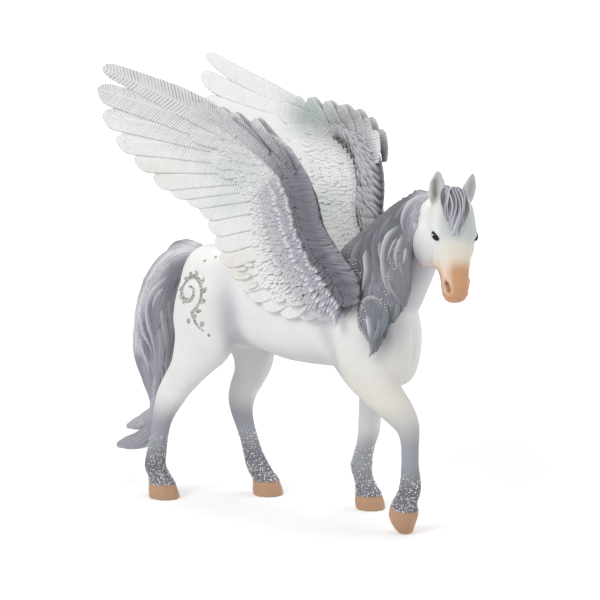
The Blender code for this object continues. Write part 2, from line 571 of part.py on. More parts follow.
def fuse(item, voxel, passes):
    """Unites overlapping shapes into one skin and softens the creases between them."""
    remesh = item.modifiers.new("one_skin", "REMESH")
    remesh.mode = "VOXEL"
    remesh.voxel_size = voxel * MM
    soften = item.modifiers.new("soften", "SMOOTH")
    soften.factor = 0.5
    soften.iterations = passes
    carry_out(item)


def thin_out(item, faces):
    """Keeps about this many triangles, most of them where the surface bends."""
    triangles = sum(len(face.vertices) - 2 for face in item.data.polygons)
    fewer = item.modifiers.new("thin_out", "DECIMATE")
    fewer.ratio = min(1.0, faces / triangles)
    fewer.use_collapse_triangulate = True
    carry_out(item)


def cut(item, cutter):
    """Takes the cutter's space out of the object."""
    away = item.modifiers.new("cut", "BOOLEAN")
    away.operation = "DIFFERENCE"
    away.solver = "EXACT"
    away.object = cutter
    carry_out(item)


def keep_largest(item):
    """Deletes the loose crumbs that a cut may leave beside the piece."""
    mesh = item.data
    owner = np.arange(len(mesh.vertices))
    edges = np.array([edge.vertices[:] for edge in mesh.edges])
    changed = True
    while changed:
        lowest = np.minimum(owner[edges[:, 0]], owner[edges[:, 1]])
        before = owner.copy()
        np.minimum.at(owner, edges[:, 0], lowest)
        np.minimum.at(owner, edges[:, 1], lowest)
        owner = owner[owner]
        changed = not np.array_equal(owner, before)
    labels, counts = np.unique(owner, return_counts=True)
    main = labels[np.argmax(counts)]
    keep = owner == main
    if keep.all():
        return
    places = np.array([vertex.co[:] for vertex in mesh.vertices])
    number = np.cumsum(keep) - 1
    faces = [
        tuple(int(number[corner]) for corner in face.vertices)
        for face in mesh.polygons
        if keep[face.vertices[0]]
    ]
    clean = bpy.data.meshes.new(mesh.name)
    clean.from_pydata(places[keep].tolist(), [], faces)
    item.data = clean


def plastic(item, colour, roughness):
    """The piece's own painted plastic."""
    material = bpy.data.materials.new(item.name + "_plastic")
    material.use_nodes = True
    shader = material.node_tree.nodes["Principled BSDF"]
    shader.inputs["Base Color"].default_value = (*colour, 1.0)
    shader.inputs["Roughness"].default_value = roughness
    shader.inputs["Metallic"].default_value = 0.0
    material.diffuse_color = (*colour, 1.0)
    item.data.materials.clear()
    item.data.materials.append(material)


def finish(item, colour, roughness):
    """Shades the piece smooth, apart from its hard edges, and paints it."""
    item.data.shade_smooth()
    item.data.set_sharp_from_angle(angle=SHARP_EDGE)
    plastic(item, colour, roughness)


for old in list(bpy.data.objects):
    bpy.data.objects.remove(old, do_unlink=True)

figurine = collection("winged_horse_figurine")
cutters = collection("cutters")

# The horse, cut level under its hooves
horse = mesh_object("horse", joined(horse_shapes()), figurine)
fuse(horse, HORSE_VOXEL, 3)
thin_out(horse, HORSE_FACES)
ground_size = 2.0 * max(horse.dimensions)
bpy.ops.mesh.primitive_cube_add(size=ground_size, location=(0.0, 0.0, -0.5 * ground_size))
ground = bpy.context.object
ground.name = "ground"
cut(horse, ground)
keep_largest(horse)

# The horse grown by the glue line, which hollows the wings' roots
clearance = horse.copy()
clearance.data = horse.data.copy()
clearance.name = "horse_clearance"
cutters.objects.link(clearance)
grow = clearance.modifiers.new("grow", "DISPLACE")
grow.strength = GLUE_LINE * MM
grow.mid_level = 0.0
fuse(clearance, 1.2 * HORSE_VOXEL, 1)
thin_out(clearance, HORSE_FACES)

right_wing = mesh_object("right_wing", joined(right_wing_shapes()), figurine)
left_wing = mesh_object("left_wing", dipped(mirrored(joined(right_wing_shapes()))), figurine)
for wing in (right_wing, left_wing):
    fuse(wing, WING_VOXEL, 2)
    thin_out(wing, WING_FACES)
    cut(wing, clearance)
    keep_largest(wing)

for cutter in (ground, clearance):
    for home in list(cutter.users_collection):
        home.objects.unlink(cutter)
    cutters.objects.link(cutter)
    cutter.hide_render = True
    cutter.display_type = "WIRE"

finish(horse, (0.80, 0.79, 0.80), 0.55)
finish(right_wing, (0.72, 0.72, 0.76), 0.58)
finish(left_wing, (0.72, 0.72, 0.76), 0.58)

# The middle of the base is the origin
corners = np.concatenate([
    np.array([vertex.co[:] for vertex in piece.data.vertices])
    for piece in (horse, right_wing, left_wing)
])
middle = 0.5 * (corners.min(axis=0) + corners.max(axis=0))
for piece in (horse, right_wing, left_wing, ground, clearance):
    piece.location.x -= middle[0]
    piece.location.y -= middle[1]
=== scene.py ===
"""The looks of a winged horse figurine: one moulded horse and two glued-on wings, painted by airbrush.

The tables are in millimetres from a point between the hooves, as those of the solid model are, and
go into the frame's metres when a mesh is made. X is the way the horse faces, Y its left side, Z up.
"""

import bmesh
import bpy
import numpy as np
from mathutils import Matrix, Vector
from mathutils.bvhtree import BVHTree


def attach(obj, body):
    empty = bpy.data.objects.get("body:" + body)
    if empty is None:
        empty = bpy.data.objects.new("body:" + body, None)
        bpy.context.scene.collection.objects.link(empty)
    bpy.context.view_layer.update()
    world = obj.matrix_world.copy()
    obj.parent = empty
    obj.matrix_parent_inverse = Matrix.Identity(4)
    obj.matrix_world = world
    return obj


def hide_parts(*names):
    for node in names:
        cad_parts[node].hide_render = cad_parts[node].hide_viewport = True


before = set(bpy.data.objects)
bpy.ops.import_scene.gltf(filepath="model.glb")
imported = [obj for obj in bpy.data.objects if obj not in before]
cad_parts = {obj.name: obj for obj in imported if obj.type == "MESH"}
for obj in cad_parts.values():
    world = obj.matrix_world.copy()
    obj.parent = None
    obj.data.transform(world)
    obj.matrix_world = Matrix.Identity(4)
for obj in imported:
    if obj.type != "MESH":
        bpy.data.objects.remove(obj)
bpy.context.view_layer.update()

# The sheet of white paper that the figurine stands on, the soft lamps over it and the camera.
# The paper is bright to the camera, and keeps the soft shadows under the hooves.
MM = 0.001
VIEW_TURN = np.radians(37.0)
VIEW_RISE = np.radians(10.0)
VIEW_DISTANCE = 1.0
VIEW_TARGET = np.array([-0.0005, 0.0035, 0.0646])
LENS_LENGTH = 195.0
SENSOR_WIDTH = 36.0
PAPER_SIZE = 12.0
PAPER_WHITE = 0.85
PAPER_GLOW = 0.33
GLOW_NEAR, GLOW_FAR = 0.15, 0.6
ROOM_LIGHT = 0.46


def add_node(material, kind, inputs=None, **settings):
    """A node of one kind; an input is a plain value, or another node's output to join to it."""
    tree = material.node_tree
    node = tree.nodes.new(kind)
    for key, value in settings.items():
        setattr(node, key, value)
    for key, value in (inputs or {}).items():
        if isinstance(value, bpy.types.NodeSocket):
            tree.links.new(value, node.inputs[key])
        else:
            node.inputs[key].default_value = value
    return node


def new_material(name):
    """An empty node material with its output node."""
    material = bpy.data.materials.new(name)
    material.use_nodes = True
    material.node_tree.nodes.clear()
    return material, add_node(material, "ShaderNodeOutputMaterial")


def object_place(material):
    """Where a point lies on the object, for patterns that stay with it."""
    return add_node(material, "ShaderNodeTexCoord").outputs["Object"]


def attribute(material, name, output="Fac"):
    """A value or a colour that the mesh carries at its corners."""
    return add_node(material, "ShaderNodeAttribute", attribute_name=name).outputs[output]


def worked(material, operation, *values, clamp=False):
    """One sum of values or outputs, such as a product."""
    node = add_node(material, "ShaderNodeMath", dict(enumerate(values)), operation=operation, use_clamp=clamp)
    return node.outputs[0]


def ranged(material, value, low, high, first=0.0, last=1.0, **settings):
    """A value's run from first to last, stretched to run from low to high."""
    inputs = {0: value, 1: first, 2: last, 3: low, 4: high}
    return add_node(material, "ShaderNodeMapRange", inputs, **settings).outputs[0]


def noise(material, scale, detail=2.0, **inputs):
    """A cloudy pattern with so many clouds to a metre."""
    inputs = {"Scale": scale, "Detail": detail, **inputs}
    return add_node(material, "ShaderNodeTexNoise", inputs).outputs["Fac"]


def bumped(material, height, strength, distance):
    """Fine relief for the light alone, from a pattern's height."""
    inputs = {"Height": height, "Strength": strength, "Distance": distance}
    return add_node(material, "ShaderNodeBump", inputs).outputs[0]


def toned(material, colour, value):
    """A colour made darker or paler by a factor."""
    return add_node(material, "ShaderNodeHueSaturation", {"Color": colour, "Value": value}).outputs[0]


def mixed(material, share, first, second):
    """A colour between two, given in linear values."""
    inputs = {0: share, 6: first + (1.0,), 7: second + (1.0,)}
    return add_node(material, "ShaderNodeMix", inputs, data_type="RGBA").outputs[2]


def surfaced(material, output, sockets):
    """The material, with a shader of these sockets joined to its output."""
    shader = add_node(material, "ShaderNodeBsdfPrincipled", sockets)
    material.node_tree.links.new(shader.outputs[0], output.inputs[0])
    return material


def eyed(material):
    """1 for the camera and for reflections, and 0 for the light that falls on things."""
    path = add_node(material, "ShaderNodeLightPath").outputs
    return worked(material, "MAXIMUM", path["Is Camera Ray"], path["Is Glossy Ray"])


def paper():
    """Diffuse paper, which glows a little for the camera and for reflections alone."""
    material, output = new_material("white_paper")
    away = add_node(material, "ShaderNodeVectorMath", {0: object_place(material)}, operation="LENGTH")
    level = ranged(material, away.outputs["Value"], PAPER_GLOW, 1.0, GLOW_NEAR, GLOW_FAR)
    bump = bumped(material, noise(material, 400.0, 4.0), 0.02, 0.0002)
    white = (PAPER_WHITE,) * 3 + (1.0,)
    matte = add_node(material, "ShaderNodeBsdfDiffuse", {"Color": white, "Normal": bump})
    glow = worked(material, "MULTIPLY", eyed(material), level)
    shine = add_node(material, "ShaderNodeEmission", {"Strength": glow})
    both = add_node(material, "ShaderNodeAddShader", {0: matte.outputs[0], 1: shine.outputs[0]})
    material.node_tree.links.new(both.outputs[0], output.inputs[0])
    return material


floor_mesh = bpy.data.meshes.new("paper_sheet")
half = 0.5 * PAPER_SIZE
floor_corners = [(-half, -half, 0), (half, -half, 0), (half, half, 0), (-half, half, 0)]
floor_mesh.from_pydata(floor_corners, [], [(0, 1, 2, 3)])
floor = bpy.data.objects.new("paper_sheet", floor_mesh)
bpy.context.scene.collection.objects.link(floor)
floor_mesh.materials.append(paper())

view_back = np.array([np.sin(VIEW_TURN) * np.cos(VIEW_RISE), -np.cos(VIEW_TURN) * np.cos(VIEW_RISE),
                      np.sin(VIEW_RISE)])
view_right = np.array([np.cos(VIEW_TURN), np.sin(VIEW_TURN), 0.0])
view_up = np.cross(view_back, view_right)
view_place = VIEW_TARGET + VIEW_DISTANCE * view_back
camera_data = bpy.data.cameras.new("camera")
camera_data.lens = LENS_LENGTH
camera_data.sensor_width = SENSOR_WIDTH
camera_data.clip_start = 0.05
camera = bpy.data.objects.new("camera", camera_data)
camera.matrix_world = (Matrix.Translation(Vector(view_place))
                       @ Matrix((view_right, view_up, view_back)).transposed().to_4x4())
bpy.context.scene.collection.objects.link(camera)
bpy.context.scene.camera = camera


def soft_lamp(name, right, up, back, size, power, colour=(1.0, 1.0, 1.0)):
    """A square lamp, placed by its reach to the camera's right, upwards and towards the camera."""
    light = bpy.data.lights.new(name, "AREA")
    light.shape = "SQUARE"
    light.size = size
    light.energy = power
    light.color = colour
    lamp = bpy.data.objects.new(name, light)
    level = np.array([view_back[0], view_back[1], 0.0])
    way = view_right * right + np.array([0.0, 0.0, up]) + level / np.linalg.norm(level) * back
    aim = Vector(-way).to_track_quat("-Z", "Y").to_matrix().to_4x4()
    lamp.matrix_world = Matrix.Translation(Vector(way + VIEW_TARGET)) @ aim
    bpy.context.scene.collection.objects.link(lamp)


soft_lamp("key_lamp", -0.75, 0.85, 0.75, 0.7, 7.6)
soft_lamp("top_lamp", 0.1, 1.3, -0.25, 0.9, 7.0)
soft_lamp("side_lamp", 1.1, 0.45, 0.1, 0.8, 2.4)
world = bpy.data.worlds.new("room")
bpy.context.scene.world = world
world.use_nodes = True
world.node_tree.nodes.clear()
world_level = ranged(world, eyed(world), ROOM_LIGHT, 1.0)
world_glow = add_node(world, "ShaderNodeBackground", {"Strength": world_level})
world_output = add_node(world, "ShaderNodeOutputWorld", {0: world_glow.outputs[0]})
bpy.context.scene.view_settings.view_transform = "Standard"


# The horse: a solid moulding in off-white plastic, its legs, head and ears in one with its trunk.
# Sprayed on: blue-grey lower legs, a tan muzzle and tan hooves; the lilac in the creases is painted shade.
FRAME_SHIFT = np.array([2.595, 0.008, 0.0])
SKIN_VOXEL = 0.55
HIP, SHOULDER, DOCK, TAIL_SWEEP = -18.0, 29.0, 15.0, 37.0
BARREL = SHOULDER - HIP
WITHERS_HEIGHT, CROUP_HEIGHT, BACK_HEIGHT, BELLY_HEIGHT = 83.0, 79.5, 76.5, 46.5
CHEST_HALF_WIDTH, BARREL_HALF_WIDTH, HAUNCH_HALF_WIDTH = 12.6, 14.2, 13.4
POLL = np.array([64.9, -6.2, 103.4])
HEAD_LENGTH = 31.6
HEAD_TURN, HEAD_TILT, HEAD_ROLL = np.radians(-33.0), np.radians(16.0), np.radians(3.5)
EAR_LENGTH, EAR_HALF_WIDTH = 9.8, 2.5
CANNON_RADIUS, HOOF_RADIUS = 2.85, 4.7
STANCE_HALF_WIDTH = 11.5
UP, LEFT = np.array([0.0, 0.0, 1.0]), np.array([0.0, 1.0, 0.0])
HEAD_HEADING = np.array([np.cos(HEAD_TURN), np.sin(HEAD_TURN), 0.0])
FACE_OUT = HEAD_HEADING * np.cos(HEAD_TILT) + UP * np.sin(HEAD_TILT)
LEVEL_DOWN = HEAD_HEADING * np.sin(HEAD_TILT) - UP * np.cos(HEAD_TILT)
LEVEL_LEFT = np.cross(UP, HEAD_HEADING)
FACE_DOWN = LEVEL_DOWN * np.cos(HEAD_ROLL) - LEVEL_LEFT * np.sin(HEAD_ROLL)
HEAD_LEFT = LEVEL_LEFT * np.cos(HEAD_ROLL) + LEVEL_DOWN * np.sin(HEAD_ROLL)
HEAD_AXES = np.stack([FACE_DOWN, FACE_OUT, HEAD_LEFT])


def unit(vectors):
    """Each vector divided by its length."""
    vectors = np.asarray(vectors, dtype=float)
    return vectors / np.maximum(np.linalg.norm(vectors, axis=-1, keepdims=True), 1e-12)


def smoothstep(low, high, value):
    """0 below low, 1 above high, and 3t² - 2t³ between them; low may be the larger one."""
    t = np.clip((value - low) / (high - low), 0, 1)
    return t * t * (3 - 2 * t)


def smooth_rows(table, count):
    """A cubic curve through the table's rows, read at evenly spaced places.

    The slope at a row is the one across its two neighbours; the first three columns are the place.
    """
    rows = np.asarray(table, dtype=float)
    at = np.concatenate([[0.0], np.cumsum(np.linalg.norm(np.diff(rows[:, :3], axis=0), axis=1))])
    slopes = np.gradient(rows, at, axis=0)
    want = np.linspace(0.0, at[-1], count)
    left = np.clip(np.searchsorted(at, want, side="right") - 1, 0, len(at) - 2)
    span = (at[left + 1] - at[left])[:, None]
    t = (want[:, None] - at[left][:, None]) / span
    start = (1 + 2 * t) * (1 - t) ** 2 * rows[left] + t * (1 - t) ** 2 * span * slopes[left]
    end = t * t * (3 - 2 * t) * rows[left + 1] + t * t * (t - 1) * span * slopes[left + 1]
    return start + end


def tangents(points):
    """The direction of the path at each of its points."""
    return unit(np.gradient(points, axis=0))


def oval_rings(centres, a_axes, b_axes, radii, sides=32, power=2.0):
    """Rings of points: centre + a·|cos|^(2/power) + b·|sin|^(2/power), signed, with four radii.

    The radii are those towards +a, -a, +b and -b.
    """
    angle = np.linspace(0.0, 2 * np.pi, sides, endpoint=False)
    cos, sin = np.cos(angle), np.sin(angle)
    radii = np.asarray(radii, dtype=float)
    a_size = np.where(cos >= 0, radii[:, :1], radii[:, 1:2]) * np.sign(cos) * np.abs(cos) ** (2 / power)
    b_size = np.where(sin >= 0, radii[:, 2:3], radii[:, 3:4]) * np.sign(sin) * np.abs(sin) ** (2 / power)
    a_axes, b_axes = (np.broadcast_to(axis, centres.shape) for axis in (a_axes, b_axes))
    return centres[:, None] + a_axes[:, None] * a_size[..., None] + b_axes[:, None] * b_size[..., None]


def closed_tube(rings):
    """Quads between neighbouring rings and a fan of triangles round a pole at each end, facing out.

    They face out where the sum of corner · face normal over the quads is above 0.
    """
    rows, sides = rings.shape[:2]
    place = np.arange(rows * sides).reshape(rows, sides)
    after = np.roll(place, -1, axis=1)
    quads = np.stack([place[:-1], after[:-1], after[1:], place[1:]], -1).reshape(-1, 4)
    corners = np.concatenate([rings.reshape(-1, 3), rings[0].mean(0)[None], rings[-1].mean(0)[None]])
    low = np.stack([np.full(sides, rows * sides), after[0], place[0]], 1)
    high = np.stack([np.full(sides, rows * sides + 1), place[-1], after[-1]], 1)
    fans = np.concatenate([low, high])
    a, b, c, d = (corners[quads[:, k]] - corners.mean(0) for k in range(4))
    if np.sum((a + b + c + d) * np.cross(c - a, d - b)) < 0:
        quads, fans = quads[:, ::-1], fans[:, ::-1]
    return corners, quads, fans


def merged(parts):
    """Several surfaces as one list of corners, one of quads and one of triangles."""
    first = np.cumsum([0] + [len(part[0]) for part in parts[:-1]])
    return tuple(np.concatenate([part[k] + (start if k else 0) for part, start in zip(parts, first)])
                 for k in range(3))


def mesh_from(name, corners, quads, triangles):
    """A smooth-shaded mesh in metres, from corners in millimetres."""
    mesh = bpy.data.meshes.new(name)
    mesh.vertices.add(len(corners))
    mesh.vertices.foreach_set("co", ((corners - FRAME_SHIFT) * MM).ravel())
    loops = np.concatenate([quads.ravel(), triangles.ravel()]).astype(np.int32)
    mesh.loops.add(len(loops))
    mesh.loops.foreach_set("vertex_index", loops)
    starts = np.concatenate([np.arange(len(quads)) * 4, len(quads) * 4 + np.arange(len(triangles)) * 3])
    mesh.polygons.add(len(starts))
    mesh.polygons.foreach_set("loop_start", starts.astype(np.int32))
    mesh.update(calc_edges=True)
    mesh.validate()
    mesh.shade_smooth()
    return mesh


def corners_of(mesh):
    """The mesh's corners in millimetres and their normals."""
    flat = np.empty(len(mesh.vertices) * 3, dtype=np.float32)
    mesh.vertices.foreach_get("co", flat)
    turned = np.empty_like(flat)
    mesh.vertex_normals.foreach_get("vector", turned)
    return flat.reshape(-1, 3) / MM + FRAME_SHIFT, turned.reshape(-1, 3).astype(float)


def set_corners(mesh, corners):
    """Puts corners in millimetres back into the mesh."""
    mesh.vertices.foreach_set("co", ((corners - FRAME_SHIFT) * MM).ravel())
    mesh.update()


def set_value(mesh, name, values):
    """A number at every corner, which materials read by its name."""
    mesh.attributes.new(name, "FLOAT", "POINT").data.foreach_set("value", values.astype(np.float32))


def set_paint(mesh, name, colours):
    """A colour at every corner, which materials read by its name."""
    flat = np.concatenate([colours, np.ones((len(colours), 1))], axis=1).astype(np.float32)
    mesh.attributes.new(name, "FLOAT_COLOR", "POINT").data.foreach_set("color", flat.ravel())


def paint(red, green, blue):
    """A paint mixed to a colour given as 0 to 255 on a screen, in the renderer's linear values."""
    share = np.array([red, green, blue]) / 255
    return np.where(share <= 0.04045, share / 12.92, ((share + 0.055) / 1.055) ** 2.4)


def sprayed(under, colour, share):
    """Paint sprayed over another: under + (colour - under) · share."""
    return under + (colour - under) * np.clip(share, 0, 1)[:, None]


def coats(points, ground, *layers):
    """The paint at each point: a ground and the coats over it, each a colour and its thickness."""
    colour = np.tile(ground, (len(points), 1))
    for coat, share in layers:
        colour = sprayed(colour, coat, share)
    return colour


def show(mesh, material, slot, *nodes):
    """A finished piece: it rides on the body, takes the material and hides the nodes it replaces; the slot is
    not used.
    """
    piece = bpy.data.objects.new(mesh.name, mesh)
    bpy.context.scene.collection.objects.link(piece)
    mesh.materials.clear()
    mesh.materials.append(material)
    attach(piece, "root")
    if nodes:
        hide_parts(*nodes)


def trunk():
    """Barrel, chest and haunches as sections across X: place, top, bottom, widest, half width."""
    table = [
        (HIP - 20.6, CROUP_HEIGHT - 9.5, 59, 65, 2.5),
        (HIP - 18.8, CROUP_HEIGHT - 4.3, 53, 64.5, 7),
        (HIP - 15, CROUP_HEIGHT - 0.7, 49, 64, 10.4),
        (HIP - 9, CROUP_HEIGHT + 0.3, 47.5, 63.5, HAUNCH_HALF_WIDTH - 0.8),
        (HIP, CROUP_HEIGHT, 48.5, 63, HAUNCH_HALF_WIDTH),
        (HIP + 0.22 * BARREL, BACK_HEIGHT + 1.2, 48.8, 62.5, BARREL_HALF_WIDTH - 0.8),
        (HIP + 0.45 * BARREL, BACK_HEIGHT, BELLY_HEIGHT + 0.3, 62, BARREL_HALF_WIDTH),
        (HIP + 0.66 * BARREL, BACK_HEIGHT + 1.8, BELLY_HEIGHT, 62, BARREL_HALF_WIDTH - 0.2),
        (HIP + 0.85 * BARREL, WITHERS_HEIGHT - 1, BELLY_HEIGHT, 62.5, CHEST_HALF_WIDTH + 0.6),
        (SHOULDER, WITHERS_HEIGHT, BELLY_HEIGHT - 2, 62.5, CHEST_HALF_WIDTH),
        (SHOULDER + 7, WITHERS_HEIGHT - 3, BELLY_HEIGHT - 4, 61, CHEST_HALF_WIDTH - 0.4),
        (SHOULDER + 13, WITHERS_HEIGHT - 11, BELLY_HEIGHT - 3.5, 58.5, CHEST_HALF_WIDTH - 2.4),
        (SHOULDER + 17, 65.5, BELLY_HEIGHT, 57, 6),
        (SHOULDER + 18.2, 61.5, 51, 56.5, 2.5),
    ]
    rows = smooth_rows([(x, 0.0, 0.0, top, low, wide, half) for x, top, low, wide, half in table], 70)
    top, low, wide, half = rows[:, 3:].T
    centres = np.stack([rows[:, 0], np.zeros_like(top), wide], 1)
    radii = np.stack([top - wide, wide - low, half, half], 1)
    return closed_tube(oval_rings(centres, UP, LEFT, radii, 64, 2.15))


def neck():
    """Neck as sections across its path: place, reach to the crest, to the throat, half width."""
    x, y, z = POLL
    rows = smooth_rows([
        (SHOULDER - 1, 0, WITHERS_HEIGHT - 17, 15, 15, 11),
        (SHOULDER + 6, 0, WITHERS_HEIGHT - 10, 15.4, 14.5, 10.4),
        (SHOULDER + 12.5, -0.6, WITHERS_HEIGHT - 2.5, 13.6, 12.6, 8.6),
        (x - 17.4, y + 4.6, z - 15.9, 11.4, 10.8, 7.2),
        (x - 11.9, y + 3, z - 10.4, 9.2, 9.2, 6.2),
        (x - 5.4, y + 1.6, z - 7, 7.4, 7.8, 5.6),
        (x - 2, y + 0.4, z - 4.6, 4.6, 5.6, 4.8),
    ], 50)
    path = tangents(rows[:, :3])
    crest = unit(np.cross(path, LEFT))
    side = unit(np.cross(crest, path))
    return closed_tube(oval_rings(rows[:, :3], crest, side, rows[:, [3, 4, 5, 5]], 56, 2.1))


def head_point(down, out, left):
    """A point of the head, from the poll: down the face, out of the face, to its left."""
    return POLL + np.array([down, out, left]) @ HEAD_AXES


def skull():
    """Skull, cheeks and muzzle: share of the head's length, face, jaw, half width."""
    rows = smooth_rows([(HEAD_LENGTH * share, 0.0, 0.0, out, jaw, half) for share, out, jaw, half in (
        (-0.04, 0.6, 2.6, 2.4), (0.00, 2.2, 5.4, 4.6), (0.08, 4, 8.4, 6), (0.20, 5.2, 11.4, 6.7),
        (0.32, 5.4, 13.6, 6.8), (0.42, 5, 14.4, 6), (0.52, 4.5, 13.4, 5.2), (0.62, 4.2, 10.4, 4.5),
        (0.72, 4.1, 7.2, 3.9), (0.82, 4.2, 6.2, 3.8), (0.90, 4.2, 5.6, 3.7), (0.94, 3.7, 4.8, 3.3),
        (0.972, 2.8, 3.8, 2.5), (0.992, 1.4, 2.2, 1.4))], 64)
    centres = POLL + FACE_DOWN * rows[:, :1]
    return closed_tube(oval_rings(centres, FACE_OUT, HEAD_LEFT, rows[:, [3, 4, 5, 5]], 56, 2.15))


def ear_lean(side):
    """Upward, with the left ear leaning out and the right one upright."""
    return unit(UP + HEAD_LEFT * (0.02 if side < 0 else 0.24) + HEAD_HEADING * 0.10)


def ear(side):
    """A leaf-shaped ear: its half width follows a sine from root to tip; side is 1 or -1."""
    share = np.linspace(0.0, 1.0, 30)
    lean = ear_lean(side)
    centres = head_point(1.6, -1.0, 4.6 * side) + lean * (share * EAR_LENGTH * (0.97 + 0.03 * -side))[:, None]
    width = EAR_HALF_WIDTH * np.sin(np.pi * (0.20 + 0.80 * share)) ** 0.8 + 0.35
    depth = np.interp(share, [0.0, 0.4, 1.0], [1.9, 1.4, 0.6])
    out = unit(HEAD_HEADING + HEAD_LEFT * 0.35 * side)
    radii = np.stack([depth, depth, width, width], 1)
    return closed_tube(oval_rings(centres, out, unit(np.cross(lean, out)), radii, 28))


def ball(centre, radii, axes):
    """An ellipsoid as rings along its first axis: its radius there is the root of 1 - share²."""
    share = np.linspace(-0.999, 0.999, 24)
    size = np.sqrt(1 - share**2)
    centres = centre + axes[0] * (share * radii[0])[:, None]
    sizes = np.stack([size * radii[1], size * radii[1], size * radii[2], size * radii[2]], 1)
    return closed_tube(oval_rings(centres, axes[1], axes[2], sizes, 28))


# Legs from the top down: fore or aft of the hip or the shoulder, height, half depth, half width
NEAR_HIND = [
    (-5.4, 66, 12.3, 6), (-6.6, 58, 12.5, 6.2), (-7.8, 51, 11, 5.8), (-10.4, 45.6, 8.2, 5.1),
    (-13, 41, 6.2, 4.5), (-16.6, 36, 5.3, 3.8), (-19.2, 31.6, 4.9, 3.4), (-20.7, 28, 4.1, 3.1),
    (-21.6, 24.7, 3.4, CANNON_RADIUS), (-22.5, 18.2, 3, CANNON_RADIUS - 0.2),
    (-23.2, 12.4, 3.4, CANNON_RADIUS + 0.1), (-23.4, 9.6, 3.5, 3.1), (-22.2, 7.6, 3.3, 3),
    (-21.2, 5.6, 3.8, 3.5), (-20.6, 4.2, HOOF_RADIUS - 0.3, HOOF_RADIUS - 0.7),
    (-20.2, 2.6, HOOF_RADIUS, HOOF_RADIUS - 0.4), (-19.6, 0, HOOF_RADIUS + 0.4, HOOF_RADIUS),
]
FAR_HIND = [
    (-1, 66, 11, 6), (-1.6, 56, 10.6, 6.2), (-2.2, 48, 8.6, 5.6), (-1.9, 42.4, 7, 4.9),
    (-3.2, 37.8, 5.6, 4.2), (-5.8, 32.8, 4.9, 3.7), (-6.8, 29, 4.6, 3.4), (-6.6, 25.6, 3.8, 3.1),
    (-5.6, 22.2, 3.3, CANNON_RADIUS), (-3.6, 16.6, 3, CANNON_RADIUS - 0.2),
    (-1.7, 11.2, 3.3, CANNON_RADIUS + 0.1), (-0.3, 8.5, 3.6, 3.1), (1.4, 6.6, 3.5, 3),
    (2.3, 5.2, 3.9, 3.5), (2.9, 4, HOOF_RADIUS - 0.3, HOOF_RADIUS - 0.7),
    (3.3, 2.6, HOOF_RADIUS, HOOF_RADIUS - 0.4), (3.8, 0, HOOF_RADIUS + 0.4, HOOF_RADIUS),
]
FAR_FORE = [
    (0, 60, 10, 5.6), (-1, 50, 8.2, 5.4), (-2.6, 43, 5.8, 4.6), (-4, 36, 4.2, 3.8),
    (-5.2, 30, 3.6, 3.4), (-5.8, 25.6, 3.6, 3.3), (-6.8, 22.2, 3.2, CANNON_RADIUS),
    (-8, 18.6, 3, CANNON_RADIUS - 0.2), (-9, 15.4, 3.3, CANNON_RADIUS + 0.1),
    (-9.6, 12.9, 3.6, 3.2), (-9.3, 10.5, 3, 2.9), (-8.5, 7.8, 3.1, 3), (-7.8, 5.8, 3.6, 3.4),
    (-7.2, 4.2, HOOF_RADIUS - 0.4, HOOF_RADIUS - 0.7), (-6.9, 2.8, HOOF_RADIUS - 0.1, HOOF_RADIUS - 0.4),
    (-6.3, 0, HOOF_RADIUS, HOOF_RADIUS - 0.2),
]
NEAR_FORE = [
    (0, 60, 10, 6), (3.5, 53, 9.6, 6), (7.2, 47.6, 8.4, 5.4), (10.8, 43.6, 7, 4.9),
    (15, 39.6, 5.8, 4.3), (19, 35.9, 4.8, 3.9), (21.3, 32.6, 3.7, 3.5), (21.9, 29.3, 3, 2.9),
    (22, 25, 2.8, CANNON_RADIUS - 0.3), (22, 20.2, 2.9, CANNON_RADIUS - 0.3),
    (22.1, 16.8, 3.2, CANNON_RADIUS), (22, 14, 3.5, 3.1), (21, 11.4, 3.4, 3), (20.2, 9.3, 3.8, 3.5),
    (19.8, 7.6, HOOF_RADIUS - 0.3, HOOF_RADIUS - 0.7), (19.5, 5.4, HOOF_RADIUS, HOOF_RADIUS - 0.5),
    (19.6, 3.2, 3.7, 3.8), (20, 1.2, 2.7, 3), (20.5, 0, 1.9, 2.2),
]
LEG_TABLES = [
    (NEAR_HIND, HIP, -8, -STANCE_HALF_WIDTH - 3), (FAR_HIND, HIP, 8, STANCE_HALF_WIDTH - 3),
    (FAR_FORE, SHOULDER, 7.2, STANCE_HALF_WIDTH + 1), (NEAR_FORE, SHOULDER, -7.6, -STANCE_HALF_WIDTH + 5),
]


def leg_rows(table, joint_x, top_y, hoof_y, count):
    """The leg's middle line and half sizes; its Y runs from top to hoof over 85% of its height."""
    rows = np.array([(joint_x + x, 0.0, z, depth, width) for x, z, depth, width in table])
    share = (rows[0, 2] - rows[:, 2]) / (rows[0, 2] - rows[-1, 2])
    rows[:, 1] = top_y + (hoof_y - top_y) * np.clip(share / 0.85, 0, 1)
    return smooth_rows(rows, count)


def leg(table, joint_x, top_y, hoof_y):
    """One leg and its hoof, as sections across its path, level with the ground at its foot."""
    rows = leg_rows(table, joint_x, top_y, hoof_y, 110)
    level = np.clip(1 - rows[:, 2:3] / 9.0, 0, 1)
    path = unit(tangents(rows[:, :3]) * (1 - level) - UP * level)
    fore = unit(np.cross(path, LEFT))
    side = unit(np.cross(fore, -path))
    return closed_tube(oval_rings(rows[:, :3], fore, side, rows[:, [3, 3, 4, 4]], 44, 2.05))


